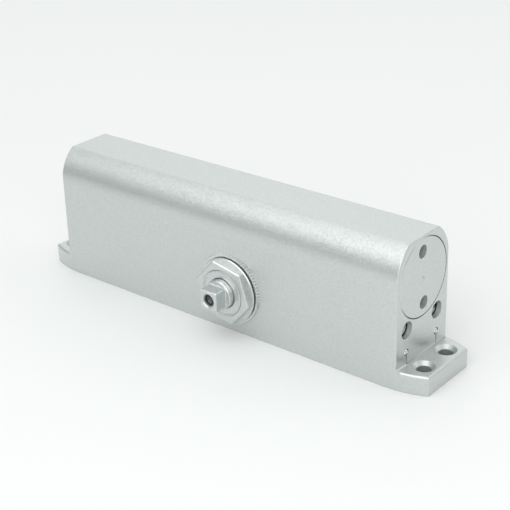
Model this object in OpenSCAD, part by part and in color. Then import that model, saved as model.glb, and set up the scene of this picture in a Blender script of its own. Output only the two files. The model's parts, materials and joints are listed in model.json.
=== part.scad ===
// Surface-mounted hydraulic door closer with a rack, a pinion and two nested springs.
// X runs along the body, Y across it and Z up from the mounting face.
// The origin is the centre of the mounting face. The pieces are drawn with the door closed.

/* [Body] */
// Length of the body between its two end faces
body_len = 215; // [212:1:230]
// Width of the body across its flat sides
body_w = 43.5; // [43:0.5:48]
// Height of the flat top above the mounting face
body_h = 70.4; // [70:0.2:76]
// Width of the flat on top of the round back
top_flat_w = 24.4; // [18:0.2:28]
// Plan radius that draws in the sides towards the lug tips
end_round_r = 50; // [40:1:90]
// Distance from the lug tip to where the sides start to draw in
end_round_len = 21.5; // [16:0.5:26]

/* [Mounting lugs] */
// Reach of each lug past the end face
lug_len = 15; // [14:0.5:20]
// Thickness of each lug
lug_t = 10; // [8:0.5:11]
// Rounding of the upper edges of the lugs
lug_edge_r = 1.3; // [0.6:0.1:2]
// Hole spacing along the body
hole_pitch_x = 230.2; // [228:0.1:231]
// Hole spacing across the body
hole_pitch_y = 19.05; // [17:0.05:20]
// Diameter of the screw holes
hole_d = 7.2; // [5.5:0.1:7.6]
// Diameter of the countersinks
csk_d = 10.8; // [9:0.1:11.4]

/* [Cylinder and end plugs] */
// Bore of the cylinder
bore_d = 36.5; // [36:0.1:37]
// Height of the cylinder axis
bore_z = 49.3; // [49:0.1:49.8]
// Thread diameter of the end plugs
plug_d = 39.5; // [39:0.1:40]
// Length of the plug threads
plug_thread_len = 10; // [8:0.5:12]
// Whole length of each end plug
plug_len = 16; // [15.5:0.5:18]
// Diameter of the two spanner holes
spanner_d = 6.4; // [5:0.1:7]
// Spacing of the two spanner holes
spanner_pitch = 26.4; // [24:0.1:27]
// Depth of the spanner holes
spanner_depth = 4; // [3:0.1:4.5]
// Turn of the spanner holes away from upright
spanner_angle = 4.3; // [0:0.1:30]
// Thickness of the rubber ring behind each plug thread
plug_ring_t = 2.4; // [2:0.1:2.6]

/* [Pinion] */
// Distance of the pinion axis from the middle of the body
pinion_x = 9.7; // [6:0.1:12]
// Height of the pinion axis
pinion_z = 23.2; // [22.8:0.1:23.6]
// Tooth module of the rack and pinion
gear_module = 2; // [1.96:0.01:2.04]
// Face width of the pinion teeth
gear_w = 24; // [20:0.5:25]
// Diameter of the bearing journals
journal_d = 17.6; // [17:0.1:17.8]
// Diameter of the round necks that stand out of the gland nuts
neck_d = 15.5; // [15.2:0.1:16.6]
// Reach of those necks past the side of the body
neck_out = 9.2; // [8.8:0.1:11]
// Chamfer at the end of the necks
neck_chamfer = 0.5; // [0.3:0.1:0.9]
// Width across the flats of the square ends
square_w = 10.2; // [9.6:0.1:10.6]
// Length of the square ends
square_len = 7.3; // [6:0.1:9]
// Tapping diameter of the arm screw holes
arm_hole_d = 5; // [4.2:0.1:5.4]
// Depth of the arm screw holes
arm_hole_depth = 13; // [10:0.5:16]
// Diameter of the chamfer at the mouth of those holes
arm_csk_d = 7.6; // [6.4:0.1:8.4]

/* [Gland] */
// Width across the flats of the gland nut
gland_af = 29.4; // [28.4:0.1:29.5]
// Turn of the gland nut about the pinion axis
gland_turn = -11.5; // [-30:0.5:30]
// Thickness of the hexagon
hex_t = 3.4; // [3:0.1:4]
// Diameter of the round collar under the hexagon
collar_d = 34.4; // [34:0.1:35]
// Thickness of the collar
collar_t = 0.8; // [0.6:0.1:1]
// Width of the gap that the outer rubber ring fills
ring_gap = 0.6; // [0.5:0.05:0.8]
// Outer diameter of the serrated washer
washer_d = 37.4; // [36:0.1:38]
// Thickness of the serrated washer
washer_t = 1.4; // [1:0.1:1.6]
// Radial width of the outer rubber ring
ring_w = 2.1; // [1.6:0.1:2.4]
// Number of serrations on the washer
serrations = 72; // [48:1:90]
// Depth of the serrations
serration_depth = 0.35; // [0.2:0.05:0.6]
// Diameter of the bush in the face of the nut
bush_d = 24.2; // [24:0.1:24.8]
// Thickness of that bush
bush_t = 2.4; // [2:0.1:2.8]
// Width of the raised rim of that bush
bush_rim_w = 1; // [0.6:0.1:1.6]
// Height of that rim above the face of the nut
bush_rim_h = 0.35; // [0.2:0.05:0.6]
// Diameter of the bearing needles
needle_d = 2; // [1.8:0.05:2.1]
// Wall of the bearing shell
shell_t = 1; // [0.8:0.05:1.1]
// Thickness of the lip seal
seal_t = 4; // [3.4:0.1:4.4]

/* [Piston] */
// Length of the head on the spring side
left_head_len = 15.5; // [14:0.5:17]
// Depth of the spring recess in that head
recess_depth = 12; // [10:0.5:12.5]
// Wall around the spring recess
recess_wall = 1.9; // [1.6:0.1:2.1]
// Thickness of the web that carries the check valve
web_t = 10; // [9:0.5:12]
// Wall of the open skirt on the closing side
skirt_wall = 4; // [3:0.2:5]
// Relief of the waist between the two heads
waist_relief = 0.8; // [0.5:0.1:1]
// Depth of the oil grooves around the heads
groove_depth = 0.5; // [0.3:0.05:0.7]
// Width of those grooves
groove_w = 1.2; // [0.8:0.1:1.5]
// Diameter of the oil passage along the piston
passage_d = 4.4; // [4:0.1:4.8]
// Diameter of the check ball
check_ball_d = 6; // [5.8:0.1:6.2]
// Lift of the check ball
check_lift = 0.8; // [0.6:0.1:1]

/* [Springs] */
// Wire diameter of the outer spring
outer_wire_d = 5; // [4.6:0.1:5.1]
// Number of turns of the outer spring
outer_turns = 7.5; // [6.5:0.5:7.5]
// Wire diameter of the inner spring
inner_wire_d = 3; // [2.6:0.1:3.1]
// Mean diameter of the inner spring
inner_mean_d = 17.2; // [17:0.1:17.4]
// Number of turns of the inner spring
inner_turns = 11; // [9:0.5:12]
// Thickness of the spring seat
seat_t = 6; // [5:0.5:7]
// Thread diameter of the power screw
power_d = 10; // [9:0.1:10.2]
// Length of the power screw inside the cylinder
power_reach = 20; // [16:0.5:24]
// Width across the flats of the hexagon socket
socket_af = 5; // [4:0.5:5.5]
// Depth of the hexagon socket
socket_depth = 5; // [4:0.5:5.5]

/* [Regulating valves and oilways] */
// Distance of the valves from the middle of the body
valve_y = 12.7; // [12.4:0.1:13]
// Height of the valves
valve_z = 27.4; // [26.8:0.1:27.8]
// Diameter of the open bore around the valve heads
valve_mouth_d = 8.6; // [8.2:0.1:9]
// Thread diameter of the valves
valve_d = 7; // [6.6:0.1:7.4]
// Depth of that open bore
valve_mouth_depth = 4; // [3.5:0.1:5]
// Depth of the valve heads below the end face
valve_sunk = 2.8; // [2.2:0.1:3.2]
// Turn of the slot in the closing valve away from level
closing_slot_turn = 55; // [0:1:180]
// Turn of the slot in the latch valve away from level
latch_slot_turn = 95; // [0:1:180]
// Width of the screwdriver slot
slot_w = 1.3; // [0.8:0.1:1.6]
// Depth of the screwdriver slot
slot_depth = 1.8; // [1.2:0.1:2.2]
// Depth of the threaded bore from the end face
valve_thread_len = 11.5; // [11:0.1:12.5]
// Diameter of the smooth bore past the thread
stem_bore_d = 5.6; // [5.4:0.1:5.8]
// Depth of the smooth bore from the end face
valve_bore_len = 33.5; // [32.5:0.5:35]
// Length of the sealing land on the valve stems
land_len = 5.5; // [5:0.1:6]
// Diameter of the valve stems in front of that land
needle_stem_d = 3.2; // [2.8:0.1:3.6]
// Length of the tapered nose of the valves
needle_nose_len = 3; // [2.4:0.1:3.6]
// Diameter of the valve seats
seat_hole_d = 3; // [2.6:0.1:3.2]
// Length of the valve seats
seat_hole_len = 4.5; // [4.2:0.1:6]
// Diameter of the ports into the cylinder and of the drops to the galleries
port_d = 2.5; // [2:0.1:2.8]
// Distance of the closing port from the end face
closing_port_in = 29.5; // [28:0.1:31]
// Distance of the latch port behind the nose of the resting piston
latch_port_back = 2.7; // [1.8:0.1:3.4]
// Height of the drilled return galleries
gallery_z = 16; // [15:0.1:17]
// Diameter of the return galleries
gallery_d = 3; // [2.4:0.1:3.2]
// Diameter of the balls that close them
plug_ball_d = 3.4; // [3.3:0.1:3.8]
// Distance that the balls stand proud of the end face
ball_proud = 0.5; // [0.2:0.1:0.8]

/* [Hidden] */
$fn = 96;

// Clearances
fit = 0.05;
seat_gap = 0.3;
face_gap = 0.1;
ring_skin = 0.05;
ring_side = 0.1;
cut = 1;

// Body
side_y = body_w / 2;
back_r = body_w / 2;
back_z = body_h - sqrt(back_r * back_r - pow(top_flat_w / 2, 2));
end_x = body_len / 2;
tip_x = end_x + lug_len;
round_x = tip_x - end_round_len;
csk_depth = (csk_d - hole_d) / 2;

// Cylinder and plugs
bore_r = bore_d / 2;
plug_r = plug_d / 2;
plug_in = end_x - plug_len;
plug_step = end_x - plug_thread_len;
mouth_chamfer = 0.5;
centre_mark_d = 2;
centre_mark_depth = 0.6;
plug_groove_w = 3.2;
plug_groove_in = 1.2;
plug_groove_x = plug_in + plug_groove_in;
plug_groove_r = bore_r - plug_ring_t;

// Rack and pinion, with the pinion profile shifted outwards to keep ten teeth from undercutting
gear_teeth = 10;
pressure_angle = 20;
profile_shift = 0.4;
backlash = 0.15;
turn_deg = 180;
tip_cut = 0.1;
tooth_clear = 0.5;
pitch_r = gear_module * gear_teeth / 2;
base_r = pitch_r * cos(pressure_angle);
tip_r = pitch_r + gear_module * (1 + profile_shift - tip_cut);
root_r = pitch_r + gear_module * (profile_shift - 1.25);
pitch = PI * gear_module;
stroke = pitch_r * turn_deg * PI / 180;
tooth_t = gear_module * (PI / 2 + 2 * profile_shift * tan(pressure_angle)) - backlash;
half_base = tooth_t / pitch_r / 2 * 180 / PI + involute(tan(pressure_angle));
tip_roll = sqrt(pow(tip_r / base_r, 2) - 1);
flank_steps = 8;
rack_mid_z = pinion_z + pitch_r + gear_module * profile_shift;
rack_tip_z = rack_mid_z - 0.95 * gear_module;
rack_root_z = rack_mid_z + 1.25 * gear_module;

// Cross bore and gland
gland_step = 0.9;
gland_wall = 0.4;
cross_r = tip_r + tooth_clear;
gland_r = cross_r + gland_step;
gland_in = sqrt(bore_r * bore_r - pow(bore_z - pinion_z - gland_r - fit, 2)) + gland_wall;
washer_clear = 0.15;
ring_clear = 0.2;
ring_in_r = gland_r + ring_clear;
hex_edge = 0.4;
washer_y = side_y;
ring_y = washer_y + washer_t;
collar_y = ring_y + ring_gap;
hex_y = collar_y + collar_t;
face_y = hex_y + hex_t;
hex_r = gland_af / 2 / cos(30);
journal_r = journal_d / 2;
neck_r = neck_d / 2;
needle_r = needle_d / 2;
needle_play = 0.04;
needle_path_r = journal_r + needle_play + needle_r;
shell_in_r = needle_path_r + needle_r + needle_play;
shell_out_r = shell_in_r + shell_t;
gland_bore_r = shell_out_r + fit;
gland_lip_r = needle_path_r + 0.4;
gland_lip_t = 0.6;
bush_y = face_y - bush_t;
seal_y = bush_y - face_gap - seal_t;
shell_y = gland_in + gland_lip_t;
shell_len = seal_y - face_gap - shell_y;
shell_lip_t = 0.6;
needle_len = shell_len - 2 * shell_lip_t - 0.3;
needle_count = floor(2 * PI * needle_path_r / (needle_d + 0.35));
thrust_t = gland_in - gear_w / 2 - 2 * face_gap;
journal_y = bush_y - seat_gap;
neck_y = side_y + neck_out;
square_y = neck_y + square_len;

// Piston at rest, with the door closed
piston_r = bore_r - fit;
waist_r = piston_r - waist_relief;
bite = sqrt(tip_r * tip_r - pow(bore_z - bore_r - pinion_z, 2));
rack_clear_left = 1.4;
rack_clear_right = 1.1;
rack_x0 = pinion_x - bite - rack_clear_left;
rack_x1 = pinion_x + bite + stroke + rack_clear_right;
rack_inset = 0.6;
piston_edge = 0.5;
piston_land = 4;
groove_pitch = 5;
groove_r = piston_r - groove_depth;
piston_x0 = rack_x0 - left_head_len;
piston_x1 = plug_in - seat_gap;
recess_r = piston_r - recess_wall;
recess_x = piston_x0 + recess_depth;
web_x = rack_x1 + web_t;
skirt_r = piston_r - skirt_wall;
nose_len = 5;
nose_step = 1.6;
nose_r = piston_r - nose_step;
passage_r = passage_d / 2;
cross_drill_r = passage_r - 0.5;

// Check valve in the web of the piston
ball_r = check_ball_d / 2;
ball_room_r = ball_r + 0.25;
ball_sit = sqrt(ball_r * ball_r - passage_r * passage_r) + 0.03;
cage_r = ball_room_r + 1.2;
cage_len = 2;
cage_x = web_x - cage_len;
ball_seat_x = cage_x - ball_sit - ball_r - check_lift - 0.3;
ball_x = ball_seat_x + ball_sit;
check_wire_d = 0.5;
check_mean_r = 1.5;
check_coil_x = ball_x + sqrt(ball_r * ball_r - pow(check_mean_r - check_wire_d / 2, 2)) + check_wire_d / 2;
cage_pocket_r = check_mean_r + check_wire_d / 2 + 0.35;
cage_floor_t = 0.7;
cage_hole_r = 1.1;

// Main springs and their seat
seat_x = -plug_in + face_gap + 0.2;
spring_x0 = seat_x + seat_t + face_gap;
spring_x1 = recess_x - face_gap;
seat_r = bore_r - 0.6;
outer_mean_r = recess_r - 0.4 - outer_wire_d / 2;
inner_mean_r = inner_mean_d / 2;
power_r = power_d / 2;
power_flange_r = power_r + 3.4;
power_flange_t = 3.5;
power_head_gap = 1;
power_outer_x = power_head_gap - end_x;
power_groove_x = power_outer_x + 6.5;
power_groove_w = 2.3;
seat_boss_r = inner_mean_r - inner_wire_d / 2 - 0.3;
seat_boss_len = 4;
power_ring_t = 1.8;
power_groove_r = power_r + fit - power_ring_t;
seat_oil_r = 1.6;

// Valves
mouth_r = valve_mouth_d / 2;
valve_r = valve_d / 2;
valve_edge = 0.3;
stem_bore_r = stem_bore_d / 2;
seat_hole_r = seat_hole_d / 2;
thread_x = end_x - valve_thread_len;
stem_x = end_x - valve_bore_len;
valve_thread_clear = 1;
land_x = thread_x + valve_thread_clear - land_len;
land_r = stem_bore_r - fit;
needle_stem_r = needle_stem_d / 2;
needle_tip_r = 0.5;
needle_step = 0.4;
needle_back = 2;
needle_x = stem_x + needle_back;
valve_ring_t = 1.2;
valve_groove_w = 1.8;
valve_groove_in = 1.5;
valve_groove_x = land_x + valve_groove_in;
valve_groove_r = stem_bore_r - valve_ring_t;
port_r = port_d / 2;
port_over = 2;
latch_port_x = piston_x1 - latch_port_back;
closing_port_x = end_x - closing_port_in;
drop_past = 0.5;
drop_x = stem_x - seat_hole_len / 2 - drop_past;
plug_ball_r = plug_ball_d / 2;
ball_up = 0.5;
ball_room = 0.1;

function involute(t) = (t - atan(t) * PI / 180) * 180 / PI;
function polar(r, a) = [r * cos(a), r * sin(a)];

// One gear tooth, from its foot on one side over the tip to its foot on the other
function tooth(a) = concat(
    [polar(root_r, a - half_base)],
    [for (i = [0:flank_steps]) let (t = tip_roll * i / flank_steps)
        polar(base_r * sqrt(1 + t * t), a - half_base + involute(t))],
    [for (i = [flank_steps:-1:0]) let (t = tip_roll * i / flank_steps)
        polar(base_r * sqrt(1 + t * t), a + half_base - involute(t))],
    [polar(root_r, a + half_base)]);

// Half thickness of a rack tooth at a height
function rack_half(z) = pitch / 4 + (z - rack_mid_z) * tan(pressure_angle);

// Place of a coil along its axis after u turns, with one closed turn at each end
function coil_x(u, turns, span, wire_d) =
    let (closed = wire_d + 0.5)
    let (open = (span - 2 * closed) / (turns - 2))
    u < 1 ? closed * u
    : u < turns - 1 ? closed + open * (u - 1)
    : closed + open * (turns - 2) + closed * (u - turns + 1);

function coil_path(turns, span, wire_d, mean_r, hand, rings) =
    [for (i = [0:turns * rings]) let (u = i / rings)
        [coil_x(u, turns, span, wire_d), mean_r * cos(360 * u), hand * mean_r * sin(360 * u)]];

function unit(v) = v / norm(v);

// Points of a tube of wire around a coil path, ring by ring
function wire_points(path, wire_d, sides) =
    let (last = len(path) - 1)
    [for (i = [0:last])
        let (along = unit(path[min(i + 1, last)] - path[max(i - 1, 0)]))
        let (out = unit([0, path[i][1], path[i][2]]))
        let (across = cross(along, out))
        let (up = cross(across, along))
        for (k = [0:sides - 1])
            path[i] + wire_d / 2 * (up * cos(360 * k / sides) + across * sin(360 * k / sides))];

function wire_faces(rings, sides) = concat(
    [for (i = [0:rings - 2]) for (k = [0:sides - 1])
        let (a = i * sides + k)
        let (b = i * sides + (k + 1) % sides)
        for (f = [[a, a + sides, b], [b, a + sides, b + sides]]) f],
    [for (k = [1:sides - 2]) [0, k, k + 1]],
    [for (k = [1:sides - 2]) let (a = (rings - 1) * sides) [a, a + k + 1, a + k]]);

// Least gap between one stretch of a coil and any other, over half a turn away
function coil_gap(path, wire_d, rings) = min([for (i = [0:len(path) - 1])
    for (j = [i + floor(rings / 2):1:len(path) - 1]) norm(path[j] - path[i])]) - wire_d;

module coil(turns, span, wire_d, mean_r, hand, rings, sides, label) {
    path = coil_path(turns, span, wire_d, mean_r, hand, rings);
    echo(str(label, " least gap to itself, mm: ", coil_gap(path, wire_d, rings)));
    faces = wire_faces(len(path), sides);
    turned = hand > 0 ? faces : [for (f = faces) [f[0], f[2], f[1]]];
    polyhedron(wire_points(path, wire_d, sides), turned);
}

// A coil with both ends ground flat, filling a length along X
module ground_coil(x0, length, turns, wire_d, mean_r, hand, rings, sides, label) {
    ground = wire_d * 0.25;
    intersection() {
        translate([x0 + ground, 0, 0])
            coil(turns, length - 2 * ground, wire_d, mean_r, hand, rings, sides, label);
        translate([x0, -2 * mean_r, -2 * mean_r])
            cube([length, 4 * mean_r, 4 * mean_r]);
    }
}

// Places: local Z runs along +X, or outwards from the front or the rear side
module along_x(x, y, z) translate([x, y, z]) rotate([0, 90, 0]) children();
module at_front() translate([pinion_x, 0, pinion_z]) rotate([90, 0, 0]) children();
module at_rear() mirror([0, 1, 0]) at_front() children();

module tube(r_out, r_in, h) {
    difference() {
        cylinder(r = r_out, h = h);
        translate([0, 0, -cut])
            cylinder(r = r_in, h = h + 2 * cut);
    }
}

// A rubber ring squeezed between two round walls, with rounded sides
module squeezed_ring(r_in, r_out, width) {
    t = r_out - r_in;
    rotate_extrude() {
        translate([r_in, t / 2])
            square([t, width - t]);
        translate([(r_in + r_out) / 2, t / 2])
            circle(r = t / 2);
        translate([(r_in + r_out) / 2, width - t / 2])
            circle(r = t / 2);
    }
}

// Housing

module plan_outline() {
    square([2 * round_x, body_w], center = true);
    for (side = [-1, 1]) {
        intersection() {
            translate([side * round_x, side_y - end_round_r])
                circle(r = end_round_r);
            translate([side * round_x, end_round_r - side_y])
                circle(r = end_round_r);
            translate([side * (round_x + tip_x) / 2, 0])
                square([end_round_len, body_w], center = true);
        }
    }
}

module back_outline() {
    translate([-side_y, 0])
        square([body_w, back_z]);
    intersection() {
        translate([0, back_z])
            circle(r = back_r);
        translate([-side_y, back_z - cut])
            square([body_w, body_h - back_z + cut]);
    }
}

module main_block() {
    intersection() {
        linear_extrude(body_h)
            plan_outline();
        translate([-end_x, 0, 0])
            rotate([90, 0, 90])
                linear_extrude(body_len)
                    back_outline();
    }
}

// Rounding for an upper edge: what a corner loses outside a quarter round
module edge_loss(r) {
    difference() {
        translate([-r, -r])
            square([r + cut, r + cut]);
        translate([-r, -r])
            circle(r = r);
    }
}

module lug() {
    difference() {
        intersection() {
            linear_extrude(lug_t)
                plan_outline();
            translate([round_x, -side_y, 0])
                cube([end_round_len, body_w, lug_t]);
        }
        translate([tip_x, side_y, lug_t])
            rotate([90, 0, 0])
                linear_extrude(body_w)
                    edge_loss(lug_edge_r);
        for (side = [-1, 1]) {
            translate([round_x, side * (side_y - end_round_r), lug_t])
                rotate_extrude($fn = 180)
                    translate([end_round_r, 0])
                        edge_loss(lug_edge_r);
        }
    }
}

module screw_hole() {
    translate([0, 0, -cut])
        cylinder(d = hole_d, h = lug_t + 2 * cut);
    translate([0, 0, lug_t - csk_depth])
        cylinder(d1 = hole_d, d2 = csk_d, h = csk_depth);
    translate([0, 0, lug_t])
        cylinder(d = csk_d, h = cut);
}

// Screwed mouth for an end plug, drawn for the right end
module plug_mouth() {
    along_x(plug_step, 0, bore_z)
        cylinder(r = plug_r + fit, h = plug_thread_len + cut);
    along_x(end_x - mouth_chamfer, 0, bore_z)
        cylinder(r1 = plug_r + fit, r2 = plug_r + fit + mouth_chamfer, h = mouth_chamfer);
}

module valve_bore(side, port_x) {
    y = side * valve_y;
    along_x(end_x - valve_mouth_depth, y, valve_z)
        cylinder(r = mouth_r, h = valve_mouth_depth + cut);
    along_x(thread_x, y, valve_z)
        cylinder(r = valve_r + fit, h = end_x - thread_x);
    along_x(stem_x, y, valve_z)
        cylinder(r = stem_bore_r, h = end_x - stem_x - cut);
    along_x(stem_x - seat_hole_len, y, valve_z)
        cylinder(r = seat_hole_r, h = seat_hole_len + cut);
    // Port up into the cylinder
    translate([port_x, y, valve_z])
        cylinder(r = port_r, h = bore_z - valve_z - sqrt(bore_r * bore_r - valve_y * valve_y) + port_over);
    // Drop from the valve seat to the return gallery, drilled from the mounting face
    translate([drop_x, y, -cut])
        cylinder(r = port_r, h = valve_z + cut);
    translate([drop_x, y, -cut])
        cylinder(r = plug_ball_r + fit, h = cut + ball_up + 2 * plug_ball_r + ball_room);
    // Return gallery to the pinion chamber, drilled from the end face
    along_x(pinion_x, y, gallery_z)
        cylinder(r = gallery_d / 2, h = end_x - pinion_x);
    along_x(end_x - 2 * plug_ball_r, y, gallery_z)
        cylinder(r = plug_ball_r + fit, h = 2 * plug_ball_r + cut);
}

module housing() {
    color("silver")
    difference() {
        union() {
            main_block();
            lug();
            mirror([1, 0, 0])
                lug();
        }
        for (x = [-1, 1]) {
            for (y = [-1, 1]) {
                translate([x * hole_pitch_x / 2, y * hole_pitch_y / 2, 0])
                    screw_hole();
            }
        }
        along_x(-end_x - cut, 0, bore_z)
            cylinder(r = bore_r, h = body_len + 2 * cut);
        plug_mouth();
        mirror([1, 0, 0])
            plug_mouth();
        at_front()
            translate([0, 0, -side_y - cut])
                cylinder(r = cross_r, h = body_w + 2 * cut);
        at_front()
            translate([0, 0, gland_in])
                cylinder(r = gland_r + fit, h = side_y);
        at_rear()
            translate([0, 0, gland_in])
                cylinder(r = gland_r + fit, h = side_y);
        valve_bore(-1, closing_port_x);
        valve_bore(1, latch_port_x);
    }
}

// End plugs

module plug_blank() {
    difference() {
        union() {
            along_x(plug_in, 0, bore_z)
                cylinder(r = bore_r - fit, h = plug_len - mouth_chamfer);
            along_x(plug_step + face_gap, 0, bore_z)
                cylinder(r = plug_r, h = plug_thread_len - face_gap - mouth_chamfer);
            along_x(end_x - mouth_chamfer, 0, bore_z)
                cylinder(r1 = plug_r, r2 = plug_r - mouth_chamfer / 2, h = mouth_chamfer);
        }
        along_x(plug_groove_x, 0, bore_z)
            tube(bore_r + cut, plug_groove_r, plug_groove_w);
        for (side = [-1, 1]) {
            translate([0, 0, bore_z])
                rotate([side > 0 ? spanner_angle : spanner_angle + 180, 0, 0])
                    along_x(end_x - spanner_depth, 0, spanner_pitch / 2)
                        cylinder(d = spanner_d, h = spanner_depth + cut);
        }
    }
}

module end_plug_right() {
    color("silver")
    difference() {
        plug_blank();
        // Lathe centre mark
        along_x(end_x - centre_mark_depth, 0, bore_z)
            cylinder(d1 = 0, d2 = centre_mark_d, h = centre_mark_depth);
    }
}

module end_plug_left() {
    color("silver")
    mirror([1, 0, 0])
    difference() {
        plug_blank();
        along_x(plug_in - cut, 0, bore_z)
            cylinder(r = power_r + fit, h = plug_len + 2 * cut);
        along_x(plug_in - cut, 0, bore_z)
            cylinder(r = power_flange_r + fit, h = power_flange_t + face_gap + cut);
    }
}

module plug_ring() {
    along_x(plug_groove_x + ring_side, 0, bore_z)
        squeezed_ring(plug_groove_r + ring_skin, bore_r - ring_skin, plug_groove_w - 2 * ring_side);
}

module plug_ring_right() {
    color("dimgray")
    plug_ring();
}

module plug_ring_left() {
    color("dimgray")
    mirror([1, 0, 0])
        plug_ring();
}

// Gland: the nut, its washer and rings, the seal and the needle bearing

module gland_nut() {
    difference() {
        union() {
            translate([0, 0, gland_in])
                cylinder(r = gland_r, h = hex_y - gland_in);
            translate([0, 0, collar_y])
                cylinder(d = collar_d, h = collar_t / 2);
            translate([0, 0, collar_y + collar_t / 2])
                cylinder(d1 = collar_d, d2 = collar_d - collar_t / 2, h = collar_t / 2);
            intersection() {
                translate([0, 0, hex_y])
                    rotate([0, 0, gland_turn])
                        cylinder(r = hex_r, h = hex_t, $fn = 6);
                translate([0, 0, hex_y])
                    cylinder(r1 = hex_r + hex_t - hex_edge, r2 = hex_r - hex_edge, h = hex_t);
            }
        }
        translate([0, 0, gland_in - cut])
            cylinder(r = gland_lip_r, h = gland_lip_t + 2 * cut);
        translate([0, 0, shell_y])
            cylinder(r = gland_bore_r, h = face_y);
        translate([0, 0, bush_y - face_gap / 2])
            cylinder(r = bush_d / 2 + fit, h = face_y);
    }
}

module gland_washer() {
    difference() {
        translate([0, 0, washer_y])
            linear_extrude(washer_t - face_gap / 2)
                polygon([for (i = [0:2 * serrations - 1])
                    polar(washer_d / 2 - (i % 2) * serration_depth, 180 * i / serrations)]);
        translate([0, 0, washer_y - cut])
            cylinder(r = gland_r + washer_clear, h = washer_t + 2 * cut);
    }
}

module gland_ring() {
    translate([0, 0, ring_y])
        tube(ring_in_r + ring_w, ring_in_r, ring_gap - face_gap / 2);
}

module seal_bush() {
    bush_r = bush_d / 2;
    hole_r = neck_r + seat_gap;
    rim_y = face_y + bush_rim_h;
    rim_edge = bush_rim_h / 2;
    rotate_extrude()
        polygon([
            [hole_r, bush_y],
            [bush_r, bush_y],
            [bush_r, rim_y - rim_edge],
            [bush_r - rim_edge, rim_y],
            [bush_r - bush_rim_w + rim_edge, rim_y],
            [bush_r - bush_rim_w, rim_y - rim_edge],
            [bush_r - bush_rim_w, face_y],
            [hole_r, face_y]]);
}

// Lip seal: a rubber cup with one lip towards the oil
module shaft_seal() {
    lip_r = journal_r + 0.04;
    rotate_extrude()
        polygon([
            [gland_bore_r - 0.02, seal_y],
            [gland_bore_r - 0.02, seal_y + seal_t],
            [journal_r + seat_gap, seal_y + seal_t],
            [journal_r + seat_gap, seal_y + seal_t * 0.7],
            [lip_r + 0.5, seal_y + seal_t * 0.5],
            [lip_r, seal_y + seal_t * 0.3],
            [lip_r + 0.4, seal_y + seal_t * 0.1],
            [lip_r + 0.9, seal_y + seal_t * 0.5],
            [gland_bore_r - 1, seal_y + seal_t * 0.6],
            [gland_bore_r - 1, seal_y]]);
}

module bearing_shell() {
    lip_r = needle_path_r + 0.3;
    rotate_extrude()
        polygon([
            [shell_out_r, shell_y],
            [shell_out_r, shell_y + shell_len],
            [lip_r, shell_y + shell_len],
            [lip_r, shell_y + shell_len - shell_lip_t],
            [shell_in_r, shell_y + shell_len - shell_lip_t],
            [shell_in_r, shell_y + shell_lip_t],
            [lip_r, shell_y + shell_lip_t],
            [lip_r, shell_y]]);
}

module needles() {
    for (i = [0:needle_count - 1]) {
        rotate([0, 0, 360 * i / needle_count])
            translate([needle_path_r, 0, shell_y + (shell_len - needle_len) / 2])
                cylinder(r = needle_r, h = needle_len, $fn = 24);
    }
}

module thrust_washer() {
    translate([0, 0, gear_w / 2 + face_gap])
        tube(cross_r - seat_gap, journal_r + fit, thrust_t);
}

module gland_nut_front() {
    color("silver")
    at_front()
        gland_nut();
}

module gland_nut_rear() {
    color("silver")
    at_rear()
        gland_nut();
}

module gland_washer_front() {
    color("lightgray")
    at_front()
        gland_washer();
}

module gland_washer_rear() {
    color("lightgray")
    at_rear()
        gland_washer();
}

module gland_ring_front() {
    color("dimgray")
    at_front()
        gland_ring();
}

module gland_ring_rear() {
    color("dimgray")
    at_rear()
        gland_ring();
}

module seal_bush_front() {
    color("silver")
    at_front()
        seal_bush();
}

module seal_bush_rear() {
    color("silver")
    at_rear()
        seal_bush();
}

module shaft_seal_front() {
    color("dimgray")
    at_front()
        shaft_seal();
}

module shaft_seal_rear() {
    color("dimgray")
    at_rear()
        shaft_seal();
}

module bearing_shell_front() {
    color("lightsteelblue")
    at_front()
        bearing_shell();
}

module bearing_shell_rear() {
    color("lightsteelblue")
    at_rear()
        bearing_shell();
}

module needles_front() {
    color("gainsboro")
    at_front()
        needles();
}

module needles_rear() {
    color("gainsboro")
    at_rear()
        needles();
}

module thrust_washer_front() {
    color("goldenrod")
    at_front()
        thrust_washer();
}

module thrust_washer_rear() {
    color("goldenrod")
    at_rear()
        thrust_washer();
}

// Pinion

module pinion_end() {
    difference() {
        union() {
            cylinder(r = journal_r, h = journal_y);
            cylinder(r = neck_r, h = neck_y - neck_chamfer);
            translate([0, 0, neck_y - neck_chamfer])
                cylinder(r1 = neck_r, r2 = neck_r - neck_chamfer, h = neck_chamfer);
            translate([-square_w / 2, -square_w / 2, 0])
                cube([square_w, square_w, square_y]);
        }
        translate([0, 0, square_y - arm_hole_depth])
            cylinder(d = arm_hole_d, h = arm_hole_depth + cut);
        translate([0, 0, square_y - (arm_csk_d - arm_hole_d) / 2])
            cylinder(d1 = arm_hole_d, d2 = arm_csk_d, h = (arm_csk_d - arm_hole_d) / 2);
    }
}

module pinion_shaft() {
    color("silver")
    union() {
        at_front()
            translate([0, 0, -gear_w / 2])
                linear_extrude(gear_w)
                    polygon([for (k = [0:gear_teeth - 1])
                        for (p = tooth(90 + 360 * k / gear_teeth)) p]);
        at_front()
            pinion_end();
        at_rear()
            pinion_end();
    }
}

// Piston

module rack_gap() {
    polygon([
        [-pitch / 2 + rack_half(rack_tip_z), rack_tip_z],
        [-pitch / 2 + rack_half(rack_root_z), rack_root_z],
        [pitch / 2 - rack_half(rack_root_z), rack_root_z],
        [pitch / 2 - rack_half(rack_tip_z), rack_tip_z]]);
}

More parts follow.
